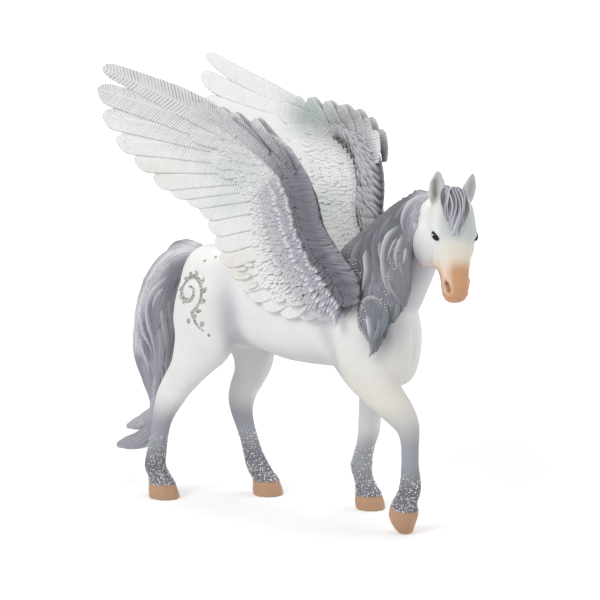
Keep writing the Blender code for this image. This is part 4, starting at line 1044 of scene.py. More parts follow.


# Crests of the mane's folds, as X and height, with the strength of their painted highlight, width and height
MANE_FOLDS = [
    ([(56.5, 103), (53, 100.5), (51.5, 97.5), (51, 94), (52.5, 90.5), (54.5, 87), (57, 84.5)],
     1.0, 3.6, 1.7),
    ([(51, 92), (50, 89), (48.5, 85.5), (49, 82.5), (50, 79.5)], 0.9, 3.2, 1.4),
    ([(52.5, 88), (52, 85), (51, 82)], 0.9, 2.6, 1),
    ([(50.5, 94.5), (48, 92.5), (46, 90.5), (44.5, 87.5), (44, 83.5), (44.5, 81), (45.5, 77.5), (47.5, 74),
      (49, 71)], 0.9, 4.4, 1.9),
    ([(49.5, 91), (46.8, 87), (45.8, 84), (45.8, 80.5)], 0.8, 2.4, 0.9),
    ([(37, 86), (38, 82), (39, 79), (38.5, 74.5), (38, 72), (36, 68), (35, 65), (36, 62),
      (38, 59.5), (39.5, 57.5)], 0.75, 4.4, 2),
    ([(38.5, 67), (39, 70), (41, 72), (44.5, 71.5), (46.5, 69)], 0.6, 2.8, 1.2),
    ([(40.6, 67), (42, 62.5), (41.5, 59), (39, 54.5)], 1, 3.8, 1.6),
    ([(42.5, 89), (42.5, 86), (43, 83.5), (43.5, 81)], 0.6, 2.6, 1.1),
    ([(57, 99.5), (54, 97.5), (52.6, 95)], 0.8, 2.6, 1),
    ([(34, 88.5), (33, 85), (32.6, 81), (34, 76.5), (35.5, 73)], 0.25, 4.4, 1.6),
    ([(41, 93), (40, 88), (40.6, 83), (42, 78), (42.6, 74)], 0.15, 3.4, 1.1),
    ([(46.5, 97), (44, 93.5), (41.6, 89.5), (41, 85)], 0.2, 3, 1),
    ([(52.5, 101), (49, 97.5), (46.5, 94)], 0.3, 3, 1),
    ([(47.5, 85.5), (47.4, 81.5), (49, 77), (50.8, 73.5)], 0.1, 3.2, 1.1),
    ([(42.5, 77), (42.8, 73), (45, 69), (46.4, 65)], 0.1, 3.2, 1),
    ([(46.5, 70.5), (46.4, 66.5), (45, 62.5), (43, 59)], 0.1, 3.4, 1),
    ([(36, 79), (36.4, 75), (35.4, 71), (33.6, 67.5)], 0.1, 2.8, 0.9),
    ([(50, 71.5), (49.4, 68), (47.6, 65)], 0.2, 2.6, 0.8),
    ([(55, 95.5), (54.4, 92), (55.6, 88.5)], 0.4, 2.4, 0.8),
    ([(38.6, 91.5), (37, 88), (36.6, 84), (37.4, 80)], 0.1, 3.2, 1.2),
    ([(55, 103), (51, 100), (48.6, 96.6), (47.4, 93.5)], 0.6, 2.4, 0.9),
    ([(40.8, 81), (41.4, 77), (41, 73), (39.6, 69)], 0.3, 2.8, 1.1),
    ([(46.8, 82), (46.4, 79), (48, 75), (50.6, 71.5), (51, 68.5)], 0.45, 2.4, 1),
    ([(44.8, 67.5), (44.6, 63.5), (43, 60), (41.6, 57)], 0.25, 2.6, 0.9),
    ([(37, 66.5), (37.6, 63.5), (39.6, 61), (40.6, 58)], 0.5, 2.2, 0.9),
    ([(49.4, 84), (51, 80.5), (52.6, 77)], 0.3, 2.4, 0.8),
]


def mane_locks():
    """Broad under locks, a middle layer in long waves, and the folds that stand out on top."""
    made = []
    shift = np.array([SHOULDER, 0.0, 0.0])
    for place in np.linspace(-0.15, 7.0, 19):
        path = between_guides(MANE_GUIDES, place) + shift
        path = wavy(path, MANE_FACING, 0.5, 0.2, 1.1, 1.0, -0.4)
        path = off_skin(over_crest(path), np.interp(np.arange(len(path) + 2), [0, 16], [-0.7, 0.7]))
        made.append(lock(path, MANE_FACING, 6.4, 3.4, 4, draw.uniform(0, 6), 0.06, cut=0.14))
    for place in np.linspace(-0.1, 7.0, 15):
        end = int(GUIDE_ROWS * draw.uniform(0.80, 1.0))
        path = between_guides(MANE_GUIDES, place + draw.uniform(-0.1, 0.1))[:end] + shift
        path = wavy(path, MANE_FACING, draw.uniform(0.8, 1.4), 0.3, 1.25,
                    2.4 + 0.35 * place + draw.uniform(-0.3, 0.3), draw.uniform(0.2, 0.6))
        path = off_skin(over_crest(path), np.interp(np.arange(len(path) + 2), [0, 16], [-0.5, 1.2]))
        width = draw.uniform(4.4, 6.0)
        made.append(lock(path, MANE_FACING, width, 2.6, 4, draw.uniform(0, 6), 0.05, cut=0.16))
    tree = tree_of(made)
    for places, pale, width, height in MANE_FOLDS:
        made.append(fold(laid_on(tree, places), MANE_FACING, width, height, pale))
    return made


def mane_colour(points):
    """Grey-lilac, darkest at the rear edge and along the crest, palest at the front and the tips."""
    x, y, z = points.T
    across = x - SHOULDER - 0.675 * (z - 66.0)
    return coats(
        points, HAIR_GREY, (HAIR_DARK, 0.9 * smoothstep(8.0, 2.0, across) * smoothstep(60.0, 68.0, z)),
        (HAIR_PALE, 0.9 * smoothstep(50.0, 57.5, x) * smoothstep(86.0, 96.0, z)),
        (HAIR_SLATE, smoothstep(41.5, 44.0, x) * smoothstep(72.0, 66.0, z)),
        (HAIR_SLATE, 0.8 * np.exp(-((x - 44.0) / 3.0) ** 2 - ((z - 92.0) / 4.0) ** 2)),
        (HAIR_PALE, 0.7 * smoothstep(62.0, 55.0, z) * smoothstep(42.5, 40.5, x)))


mane = hair_mesh("mane", mane_locks(), mane_colour)
show(mane, hair_plastic("mane_plastic", 0.46, 1.16), "horse_plastic")


def forelock_locks():
    """Locks that fall from the poll over the brow, in head places: share, out, left."""
    made = []
    guides = [np.array(guide) * [HEAD_LENGTH, 1.0, 1.0] for guide in FORELOCK_GUIDES]
    for place in np.linspace(0.0, 3.0, 9):
        end = int(GUIDE_ROWS * draw.uniform(0.80, 1.0))
        path = POLL + between_guides(guides, place)[:end] @ HEAD_AXES
        path = wavy(path, FACE_OUT, 0.4, 0.2, 1.0, draw.uniform(0, 6), 0.0)
        path = off_skin(path, np.linspace(0.8, 0.2, len(path)))
        made.append(lock(path, FACE_OUT, 2.6, 1.9, 3, draw.uniform(0, 6), 0.02, 24, 0.3, full=0.4))
    for place, pale in ((0.1, 0.7), (0.5, 0.8), (0.95, 0.9), (1.5, 0.5), (2.0, 0.6), (2.4, 0.8), (2.9, 0.6)):
        path = POLL + between_guides(guides, place)[6:int(GUIDE_ROWS * draw.uniform(0.85, 1.0))] @ HEAD_AXES
        path = wavy(path, FACE_OUT, 0.5, 0.1, 1.0, draw.uniform(0, 6), 0.2)
        made.append(fold(off_skin(path, np.linspace(1.5, 0.5, len(path))), FACE_OUT, 1.8, 1.1, pale, 0.3))
    return made


def forelock_colour(points):
    """Dark at the poll and paler towards the tips, by the way down the head."""
    return coats(points, HAIR_DARK, (HAIR_PALE, 0.8 * smoothstep(2.5, 11.0, (points - POLL) @ FACE_DOWN)))


forelock = hair_mesh("forelock", forelock_locks(), forelock_colour)
show(forelock, hair_plastic("forelock_plastic", 0.45, 1.35), "horse_plastic")


def tail_path(place):
    """A path of the tail's right half; the guides' first number is a share of the tail's sweep."""
    path = between_guides(TAIL_GUIDES, place)
    path[:, 0] = HIP - DOCK - TAIL_SWEEP * path[:, 0]
    return path


TAIL_FOLDS = [
    ([(-43, 69), (-48, 65), (-51.2, 61), (-52.3, 57), (-51.8, 53), (-50.8, 48), (-49.8, 42.5),
      (-50.5, 37)], 1, 3.8, 1.6),
    ([(-37, 77.5), (-43, 75), (-49.6, 69), (-53.6, 63), (-55.6, 57), (-55.8, 52)],
     0.7, 3.4, 1.3),
    ([(-54.6, 60), (-55.4, 55), (-54, 49.5), (-51.6, 44.5), (-51, 39)], 0.9, 3.2, 1.2),
    ([(-56, 48), (-54.5, 43), (-53, 38.5), (-52.6, 34)], 0.8, 2.8, 1),
    ([(-45.6, 65), (-49.4, 59.5), (-50.2, 55)], 0.9, 2.6, 1),
    ([(-50.5, 36), (-51.2, 30), (-51, 24.5)], 0.7, 2.6, 0.9),
    ([(-46, 60), (-46.6, 54), (-46, 48), (-46.8, 42)], 0.4, 3.4, 1),
    ([(-42, 73.5), (-46.6, 69), (-49.6, 64.5)], 0.5, 2.8, 0.9),
    ([(-48.6, 52), (-47.6, 46.5), (-48.4, 41), (-49.6, 35)], 0.3, 3, 1),
    ([(-49.6, 66.6), (-52.6, 61), (-53.6, 55), (-52.6, 49.5)], 0.5, 2.4, 0.9),
    ([(-33, 77.4), (-39, 76), (-45.6, 72), (-50.6, 66.6), (-54, 60.5)], 0.4, 2.6, 1),
    ([(-43.6, 62), (-43.8, 56), (-43.4, 50)], 0.2, 2.8, 0.8),
]
# The two thick tips of the tail, with their width and the strength of their painted highlight
TAIL_ENDS = [
    ([(-50.5, -1.6, 29), (-51.6, -1.6, 24), (-55.4, -1.5, 20.6), (-63.4, -1.3, 17.2)], 4.2, 0.35),
    ([(-50.5, -1, 27), (-51.6, -1, 21), (-56, -0.9, 15), (-68, -0.6, 10.4)], 5.2, 0.1),
]


def tail_locks():
    """Locks of the right half and of the left in the mirror, the folds on them, and two thick tips."""
    made = []
    for side in (1.0, -1.0):
        flip = np.array([1.0, side, 1.0])
        for place in np.linspace(0.0, 3.0, 9):
            path = wavy(tail_path(place)[:54], TAIL_FACING, 0.5, 0.2, 1.4, 1.0, -0.8) * flip
            made.append(lock(path, TAIL_FACING * flip, 5.4, 3.8, 4, draw.uniform(0, 6), 0.10, cut=0.12))
        for place in np.linspace(0.0, 3.0, 9):
            start = int(GUIDE_ROWS * draw.uniform(0.0, 0.1))
            end = int(GUIDE_ROWS * draw.uniform(0.70, 0.86))
            path = tail_path(place + draw.uniform(-0.12, 0.12))[start:end]
            path = wavy(path, TAIL_FACING, draw.uniform(0.6, 1.2), 0.3, 1.5, 1.0 + 0.5 * place
                        + draw.uniform(-0.4, 0.4), draw.uniform(0.1, 0.5)) * flip
            width = draw.uniform(3.6, 4.8)
            made.append(lock(path, TAIL_FACING * flip, width, 2.6, 4, draw.uniform(0, 6), 0.06, cut=0.2))
    tree = tree_of(made)
    for side in (-1.0, 1.0):
        facing = TAIL_FACING * np.array([1.0, -side, 1.0])
        for places, pale, width, height in TAIL_FOLDS:
            made.append(fold(laid_on(tree, places, side), facing, width, height, pale))
    for path, width, pale in TAIL_ENDS:
        made.append(lock(np.array(path), TAIL_FACING, width, 0.9 * width, 5, 1.0, 0.36, cut=0.16, pale=pale,
                         full=0.85))
    return made


TAIL_GREY = paint(158, 157, 168)
# Painted shade and painted highlight for the tail
TAIL_PAINTED_SHADE = paint(104, 102, 111)
TAIL_PAINTED_HIGHLIGHT = paint(218, 217, 222)


def tail_colour(points):
    """A paler grey-lilac than the mane's: painted shade beside the thigh and in its middle, and a painted
    highlight along its back.
    """
    x, y, z = points.T
    middle = np.exp(-((x + 52.0) / 3.0) ** 2) * smoothstep(38.0, 46.0, z) * smoothstep(66.0, 58.0, z)
    back = [(-36.0, 0.0, 78.5), (-44.0, 0.0, 75.0), (-50.0, 0.0, 69.0), (-55.0, 0.0, 61.0),
            (-58.5, 0, 52), (-58, 0, 44)]
    # Painted shade beside the thigh and in the middle hollow, painted highlight along the back
    return coats(
        points, TAIL_GREY, (TAIL_PAINTED_SHADE, 0.8 * smoothstep(-50.0, -42.0, x) * smoothstep(34.0, 44.0, z)),
        (TAIL_PAINTED_SHADE, 0.7 * middle), (TAIL_PAINTED_HIGHLIGHT, 0.85 * near_path(points * [1.0, 0.0, 1.0], back, 2.6)))


tail = hair_mesh("tail", tail_locks(), tail_colour)
show(tail, hair_plastic("tail_plastic", 0.46, 1.16), "horse_plastic")

# The wings: two mouldings glued to the shoulders, each with feathers on its outer and inner face.
# Long flight feathers fan out from the arm, rows of coverts lie over their roots like tiles, and
# small scales cover the arm's rear border. Barbs are moulded as fine slanting grooves.
WING_SHOULDER, WING_WRIST = (32.4, 74.6), (15.0, 109.6)
PRIMARY_LENGTH = 66.4
WING_ROOT_SPREAD, WING_LEAN, WING_LEAN_FROM, WING_LEAN_TO = 15.2, 6.0, 84.0, 120.0
WING_FLARE, WING_FLARE_FROM = 0.075, 0.0
FEATHER_CURVE = 0.015
ARM_THICKNESS = 5.2
LEFT_WING_DIP = 2.8
ARM_SECTIONS = 41
FLIGHT_FEATHERS = np.array([
    (0.490, 19, 0.98, 6.2), (0.478, 13, 1.00, 7.8), (0.467, 7, 0.97, 8), (0.455, 1, 0.91, 8),
    (0.443, -4, 0.84, 8), (0.425, -9, 0.775, 7.8), (0.405, -11, 0.715, 7.6), (0.380, -12, 0.65, 7.6),
    (0.353, -14, 0.60, 7.8), (0.322, -17, 0.58, 8.2), (0.290, -20, 0.56, 8.4), (0.258, -23, 0.545, 8.4),
    (0.228, -25, 0.525, 8.4), (0.200, -28, 0.505, 8.4), (0.174, -31, 0.48, 8.4), (0.150, -36, 0.44, 8.6),
    (0.125, -42, 0.38, 8.8), (0.103, -49, 0.305, 9), (0.082, -58, 0.22, 8.6), (0.065, -73, 0.14, 7.6),
])
UPPER_ARM = [
    (2.2, -5.6, 3.4, 0.80), (1, -1, 5, 0.95), (-3.8, 5.2, 4.9, 1.00), (-8.2, 9.6, 4.8, 1.00),
    (-11.2, 14.2, 4.7, 0.95), (-12.8, 18.6, 4.7, 0.90), (-13.2, 23, 4.8, 0.86), (-14.3, 28.6, 4.7, 0.82),
]
HAND = [
    (0, 0, 4.6, 0.74), (-0.098, 0.088, 4.6, 0.70), (-0.229, 0.146, 3.6, 0.60),
    (-0.381, 0.207, 2.8, 0.50), (-0.549, 0.271, 2.2, 0.44), (-0.716, 0.335, 1.7, 0.38),
    (-0.869, 0.387, 1.2, 0.34),
]
VANE_TILT = 0.06


def wing_spread(x, z):
    """How far the wing's middle surface lies from Y = 0: it leans out upwards and backwards."""
    lean = WING_LEAN * smoothstep(WING_LEAN_FROM, WING_LEAN_TO, z)
    return WING_ROOT_SPREAD + lean + WING_FLARE * np.maximum(0, WING_FLARE_FROM - x)


def arm_rows(count):
    """The arm's middle line, half width and share of thickness at evenly spaced places."""
    table = [(WING_SHOULDER[0] + x, 0.0, WING_SHOULDER[1] + z, half, share)
             for x, z, half, share in UPPER_ARM]
    table += [(WING_WRIST[0] + PRIMARY_LENGTH * x, 0.0, WING_WRIST[1] + PRIMARY_LENGTH * z, half, share)
              for x, z, half, share in HAND]
    table = np.array(table)
    table[:, 1] = -wing_spread(table[:, 0], table[:, 2])
    return smooth_rows(table, count)


ARM = arm_rows(ARM_SECTIONS)
ARM_SHARE = np.linspace(0, 1, ARM_SECTIONS)
BY_PLACE = FLIGHT_FEATHERS[np.argsort(FLIGHT_FEATHERS[:, 0])]


def on_arm(place):
    """X, height, half width and share of thickness of the arm at a share of its length."""
    return np.array([np.interp(place, ARM_SHARE, ARM[:, k]) for k in (0, 2, 3, 4)])


def flow(place):
    """The slope in degrees of the feathers rooted at a share of the arm's length."""
    return np.interp(place, BY_PLACE[:, 0], BY_PLACE[:, 1])


def reach(place):
    """The length in millimetres of the flight feathers rooted there."""
    return PRIMARY_LENGTH * np.interp(place, BY_PLACE[:, 0], BY_PLACE[:, 2])


def level_way(slope):
    """The direction, in X and height, of a slope in degrees that points backwards."""
    return np.array([-np.cos(np.radians(slope)), np.sin(np.radians(slope))])


def on_wing(flat, height):
    """Places in the wing's middle surface, given by X and height, carried out from it by a height."""
    x, z = flat[..., 0], flat[..., 1]
    return np.stack([x, -wing_spread(x, z) - height, z], -1)


def vane(root, tip, lead, trail, lifts, barb, face=0.0, bare=0.0, thick=0.9, depth=0.16, shaft=0.2,
         blunt=5.0, coarse=1.4, taper=0.0):
    """One feather as a closed shell on the outer face (1), the inner one (-1) or in the middle (0).

    Its rows are chevrons that slant to the tip along the barbs, three to a barb: two on its
    ridge and one in its groove. The half width swells from the root and rounds off over the last
    `blunt` millimetres. Height = lift - tilt · x + camber + shaft ridge - barb groove. The share
    from the root that other feathers cover has coarse rows and no barbs.
    """
    length = np.linalg.norm(tip - root)
    way = (tip - root) / length
    across = np.array([way[1], -way[0]])
    covered = np.arange(0.0, bare * length, coarse)
    barbs = np.arange(bare * length, length - 0.4 * barb, barb)
    fine = (barbs[:, None] + barb * np.array([0.0, 0.52, 0.76])).ravel()
    cut = draw.uniform(0.55, 1.25, len(barbs))
    groove = np.concatenate([np.zeros(len(covered)), (cut[:, None] * np.array([0.0, 0.0, 1.0])).ravel()])
    at = np.concatenate([covered, fine])
    keep = at < length * 0.992
    at, groove = np.append(at[keep], length), np.append(groove[keep], 0.0)
    t = at / length
    outer = np.array([-1.0, -0.88, -0.55, -0.16, 0.0, 0.16, 0.6, 0.9, 1.0])
    inner = np.array([0.85, 0.2, -0.3, -0.85])
    a = np.concatenate([outer, inner])
    top = np.concatenate([np.ones(len(outer)), -np.ones(len(inner))])
    x, s = np.zeros((len(at), len(a))), np.repeat(at[:, None], len(a), axis=1)
    for _ in range(14):
        over = np.clip((s - (length - blunt)) / blunt, 0, 1)
        outline = 0.55 + 0.45 * np.clip(s / (0.4 * length), 0, 1)
        outline = outline * np.sqrt(np.clip(1 - over**2.2, 0.0004, 1))
        outline = outline * (1 - taper * np.clip(s / length - 0.55, 0, 1))
        x = 0.5 * x + 0.5 * np.where(a < 0, trail, lead) * a * outline
        s = np.minimum(at[:, None] + 0.72 * np.abs(x) * np.clip(at / 3.0, 0, 1)[:, None], length)
    sag = FEATHER_CURVE * length * np.sin(np.pi * s / length)
    flat = root + way * s[..., None] + across * (x + sag)[..., None]
    rim = np.clip(1 - np.abs(a), 0, 1)
    wave = groove[:, None] * np.clip(rim * 9, 0.25, 1) * (np.abs(a) > 0.02)
    body = top * 0.5 * thick * (1 - 0.4 * t[:, None]) * np.clip(0.3 + rim * 5, 0, 1)
    ridge = shaft * np.exp(-((x / 0.4) ** 2)) * (1 - 0.6 * t[:, None]) * top
    lift = lifts[0] + (lifts[1] - lifts[0]) * t[:, None]
    height = face * lift - VANE_TILT * x + body + ridge - depth * wave * top
    relief = np.clip(1 - wave, 0, 1) * (1 - 0.08 * (np.abs(a) > 0.95)) * np.ones(x.shape)
    ends = np.broadcast_to(t[:, None], x.shape)
    faces = np.broadcast_to(top if face == 0 else np.full(len(a), face), x.shape)
    return closed_tube(on_wing(flat, height)), tube_values(relief, ends, faces)


def leaflet(root, way, length, half, root_height, tip_height, face, ridge=0.2, brushed=0.6, edge=0.5):
    """A small feather of a few dozen faces: a pointed oval with a keel, its tip a little raised."""
    t = np.array([0.0, 0.3, 0.65, 0.9, 1.0])
    a = np.array([-1.0, -0.5, 0.0, 0.5, 1.0, 0.0])
    top = np.array([1.0, 1, 1, 1, 1, -1]) * face
    across = np.array([way[1], -way[0]])
    x = half * a * np.array([0.6, 1.0, 0.95, 0.55, 0.08])[:, None]
    s = length * t[:, None] - 0.10 * length * np.abs(a)
    flat = root + way * s[..., None] + across * x[..., None]
    up = face * (root_height + (tip_height - root_height) * t[:, None])
    rings = on_wing(flat, up + top * (0.06 + ridge * (1 - np.abs(a))))
    relief = np.array([edge, 1.0, 0.8, 1.0, edge, 0.3]) * np.array([0.4 + 0.5 * edge, 0.8, 1, 1, 1])[:, None]
    ends = np.broadcast_to(1.5 * brushed * t[:, None], x.shape)
    return closed_tube(rings), tube_values(relief, ends, np.full(x.shape, face))


def flight_feathers():
    """Primaries and secondaries, seen on both faces; the first has the widest leading vane."""
    made = []
    for place, slope, share, width in FLIGHT_FEATHERS:
        way = level_way(slope)
        root = on_arm(place)[:2]
        first = place > 0.485
        root = root - np.array([way[1], -way[0]]) * (0.6 if first else 0.0)
        tip = root + way * share * PRIMARY_LENGTH
        lead, trail = (4.7, 4.2) if first else (0.38 * width, 0.66 * width)
        barb, bare, depth, taper = (1.35, 0.12, 0.15, 1.1) if first else (1.0, 0.3, 0.12, 0.35)
        made.append(vane(root, tip, lead, trail, (0.0, 0.0), barb, bare=bare, thick=0.62, depth=depth,
                         blunt=min(0.8 * width, 0.4 * share * 66), taper=taper))
    return made


def covert_row(face, count, low, high, share, under, width, lifts, barb):
    """A row of coverts; their length is a share of the flight feathers' at the same place."""
    made = []
    for place in np.linspace(low, high, count):
        way = level_way(flow(place) + draw.uniform(-2, 2))
        root = on_arm(place)[:2]
        tip = root + way * reach(place) * share * (1 + 0.06 * draw.uniform(-1, 1))
        made.append(vane(root, tip, width * 0.4, width * 0.6, lifts, barb, face, bare=under, thick=0.6,
                         depth=0.15, shaft=0.12, blunt=0.7 * width))
    return made


# Coverts of the hand: tip X, tip height, root X, root height, width, lift
NARROW_HAND_COVERTS = [
    (-15, 126.6, -2, 117.5, 3.2, 0.3), (-9.6, 125.4, 3.5, 115, 3.2, 0.6),
    (-4.2, 124.2, 9, 112.5, 3.2, 0.9), (3.8, 123, 16.5, 111, 3.2, 1.3),
    (14, 115.6, 19, 108, 2.4, 1.6), (-14, 121.5, -1, 113, 3.2, 0.3),
    (-6, 119.5, 6, 111, 3.2, 0.5), (1, 117.5, 11, 108.5, 3.2, 0.8),
    (-11, 118, 2, 109.5, 3, 0.4), (7, 115, 14, 106.5, 3, 0.9),
    (-2, 122, 10.5, 113.5, 3, 0.9),
]
BROAD_HAND_COVERTS = [
    (-14.5, 127.4, -4, 117.5, 4, 0.4), (-8.2, 127.2, 1.5, 116.5, 4.4, 0.8),
    (-1.2, 126.1, 7, 115, 4.4, 1.1), (4.6, 124.8, 12, 113.5, 4.4, 1.4),
    (10, 123.1, 15.5, 112, 4.2, 1.7), (14.6, 120.4, 18.5, 110, 3.8, 2),
    (18.6, 116.9, 21, 107, 3.4, 2.2), (-12, 121.5, -1, 112.5, 4.2, 0.7),
    (-5, 120.5, 4, 110.5, 4.2, 0.9), (1, 119, 8.5, 108.5, 4, 1.1),
    (6.5, 117, 12, 106.5, 3.8, 1.3), (11.5, 114.5, 15.5, 104.5, 3.6, 1.6),
]


def skin_height(x, z):
    """How far the arm's skin stands out from the wing's middle surface at a place (X, height)."""
    gaps = np.hypot(ARM[:, 0] - x, ARM[:, 2] - z)
    row = np.argmin(gaps)
    return 0.5 * ARM_THICKNESS * ARM[row, 4] * np.sqrt(np.clip(1 - (gaps[row] / ARM[row, 3]) ** 2, 0, 1))


def hand_coverts(face, broad):
    """The coverts along the leading edge of the hand: slim on the right wing, broad on the left."""
    made = []
    for tip_x, tip_z, root_x, root_z, width, lift in (BROAD_HAND_COVERTS if broad else NARROW_HAND_COVERTS):
        lifts = [max(least, skin_height(*spot) + 0.35) for spot, least in (
            ((root_x, root_z), lift), ((tip_x, tip_z), 0.8 * lift))]
        made.append(vane(np.array([root_x, root_z]), np.array([tip_x, tip_z]), width * 0.5, width * 0.5,
                         lifts, 0.85, face, bare=0.04, thick=0.6, depth=0.18, blunt=0.7 * width))
    return made


def arm_height(place, offset):
    """How far the arm's skin stands out at a distance behind its middle line."""
    x, z, half, share = on_arm(place)
    return 0.5 * ARM_THICKNESS * share * np.sqrt(np.clip(1 - (offset / half) ** 2, 0, 1))


# Where the downy rows end: places along the arm, and shares of the flight feathers' length there
DOWN_LIMIT = ([0.05, 0.15, 0.24, 0.32, 0.42, 0.48], [0.52, 0.66, 0.50, 0.42, 0.34, 0.26])


def small_feathers(face):
    """The downy bands behind the arm and over the wing's lower lobe, as rows of leaflets.

    Rows lie 1.5 mm apart and start 3 mm inside the arm's border. The tips of the first, the
    fourth and the ninth were brushed white and stand up. Towards the shoulder the rows go on
    nearly to the wing's edge.
    """
    made = []
    for row in range(21):
        behind = 1.5 * row - 3.4
        spots = np.arange(0.035 + 0.0045 * (row % 2), 0.475, 0.0092)
        for place in spots + 0.002 * draw.uniform(-1, 1, len(spots)):
            if behind + 2.0 > reach(place) * np.interp(place, *DOWN_LIMIT):
                continue
            x, z, half, share = on_arm(place)
            border = row in (1, 4, 9) and place < 0.42
            way = level_way(flow(place) + draw.uniform(-7, 7))
            start = np.array([x, z]) + level_way(flow(place)) * (half + behind + 0.5 * draw.uniform(-1, 1))
            lobe = 0.8 * np.exp(-((x - 31) ** 2 + (z - 77) ** 2) / 90)
            base = 1.45 - 0.03 * max(behind, 0) + lobe
            low = max(base - 0.08, arm_height(place, half + behind))
            high = max(base, arm_height(place, half + behind + 2.5) + 0.15) + (0.26 if border else 0.04)
            made.append(leaflet(start, way, 3.1 * draw.uniform(0.8, 1.2), 0.72 * draw.uniform(0.85, 1.15),
                                low, high, face, 0.07, 0.85 if border else 0.35, 0.55 if border else 0.78))
    return made


def arm_leaves():
    """Lance-shaped leaves that cover the arm's inner face and point up and back."""
    made = []
    for place in np.arange(0.02, 0.53, 0.022):
        for column in (1.0, 0.7, 0.35, 0.0, -0.35, -0.7):
            x, z, half, share = on_arm(place + 0.008 * column)
            slope = 60 + draw.uniform(-8, 8) - 10 * column
            length = 5.6 * draw.uniform(0.9, 1.15)
            root = np.array([x + column * half, z - 2.0])
            offset = -column * half + length * np.cos(np.radians(slope))
            low, high = arm_height(place, column * half * 0.96), arm_height(place, offset)
            made.append(leaflet(root, level_way(slope), length, 1.05, low + 0.05, high + 0.95, -1.0, 0.7,
                                0.5, 0.0))
    return made


def cream_tufts(face):
    """A few thicker tufts at the rear end of the lower lobe."""
    made = []
    for x, z, slope, length in ((-3.5, 76.5, -12, 3.6), (-2.0, 74.3, -16, 3.9), (0.5, 72.0, -24, 3.9),
                                (-1, 77.8, -4, 3)):
        made.append(leaflet(np.array([x, z]), level_way(slope), length, 0.7, 0.9, 1.1, face, 0.25))
    return made


def arm_skin():
    """The fleshy arm: ovals along its line, combed by curved grooves that sweep to its leading edge.

    Groove phase = (run + slant · sin angle) / pitch; they are deepest on the arm's rear half.
    """
    rows = arm_rows(700)
    rows = rows[: int(0.60 * len(rows))]
    share = np.linspace(0, 0.60, len(rows))[:, None]
    rows[:, 3:] *= (1 - 0.5 * smoothstep(0.46, 0.58, share))
    path = tangents(rows[:, :3])
    out = np.tile([0.0, -1.0, 0.0], (len(rows), 1))
    out = unit(out - path * np.sum(out * path, axis=1, keepdims=True))
    side = np.cross(path, out)
    angle = np.linspace(0, 2 * np.pi, 56, endpoint=False)
    step = np.linalg.norm(np.diff(rows[:, :3], axis=0), axis=1).mean()
    run = np.arange(len(rows))[:, None] * step
    slant = np.interp(share, [0, 0.12, 0.22, 0.35], [5.5, 4.8, 3.0, 1.2])
    phase = (run + slant * np.sin(angle) + 0.45 * np.sin(run * 0.7 + angle * 3)) / 1.25
    wave = (0.5 - 0.5 * np.cos(2 * np.pi * phase)) ** 1.5
    broken = 0.7 + 0.3 * np.sin(run * 1.9 + 4 * np.sin(angle) + 1.0)
    strength = np.interp(share, [0, 0.04, 0.17, 0.24, 0.40, 0.6, 1], [0.3, 1, 1, 0.9, 0.9, 0.9, 0.3]) * broken
    rear = smoothstep(0.15, -0.5, np.sin(angle))
    strength = strength * (1 - smoothstep(0.17, 0.24, share) * (1 - rear) * 0.5)
    depth = 0.5 * ARM_THICKNESS * rows[:, 4:5] * (1 - 0.16 * wave * strength)
    breadth = rows[:, 3:4] * (1 - 0.03 * wave * strength)
    rings = sections(rows[:, :3], out, side, depth * np.cos(angle), breadth * np.sin(angle))
    faces = np.broadcast_to(np.sign(np.cos(angle) + 0.2), wave.shape)
    return closed_tube(rings), tube_values(1 - wave * strength, np.zeros_like(wave), faces)


def root_pad():
    """The thick part behind the arm, seated on the shoulder: half an ellipsoid towards the horse."""
    share = np.linspace(-0.995, 0.995, 40)
    round_off = np.sqrt(1 - share**2)
    centres = np.stack([WING_SHOULDER[0] - 7.4 + 10.5 * share, np.full_like(share, -WING_ROOT_SPREAD),
                        np.full_like(share, WING_SHOULDER[1] - 3.6)], 1)
    radii = np.stack([6.0 * round_off, 0.9 * round_off, 7.6 * round_off, 7.6 * round_off], 1)
    shell = closed_tube(oval_rings(centres, LEFT, UP, radii, 32))
    return shell, [np.ones(len(shell[0])), np.zeros(len(shell[0])), np.ones(len(shell[0]))]


ARM_DARK = paint(116, 115, 125)
# Painted highlight for the arm's leading edge
ARM_EDGE_HIGHLIGHT = paint(146, 144, 154)
BAND_LILAC = paint(186, 184, 196)
BAND_PALE = paint(208, 207, 213)
WING_PALE = paint(246, 246, 245)
WING_MINT = paint(205, 222, 215)
WING_CREAM = paint(240, 237, 227)
INNER_WHITE = paint(252, 252, 252)
INNER_GREY = paint(150, 152, 153)
INNER_MINT = paint(176, 192, 187)
LEAF_GREY = paint(204, 205, 208)
LEAF_GAP_PAINTED_SHADE = paint(92, 92, 97)
TIP_WHITE = paint(246, 246, 248)


def near_arm(points):
    """Distance behind the arm's border and the place along the arm, for each point."""
    gaps = np.hypot(points[:, :1] - ARM[:, 0], points[:, 2:] - ARM[:, 2])
    nearest = np.argmin(gaps, axis=1)
    return gaps[np.arange(len(points)), nearest] - ARM[nearest, 3], ARM_SHARE[nearest]


def around(points, x, z, wide, high):
    """A soft oval spot of airbrush: exp(-((dx / wide)² + (dz / high)²))."""
    return np.exp(-(((points[:, 0] - x) / wide) ** 2 + ((points[:, 2] - z) / high) ** 2))


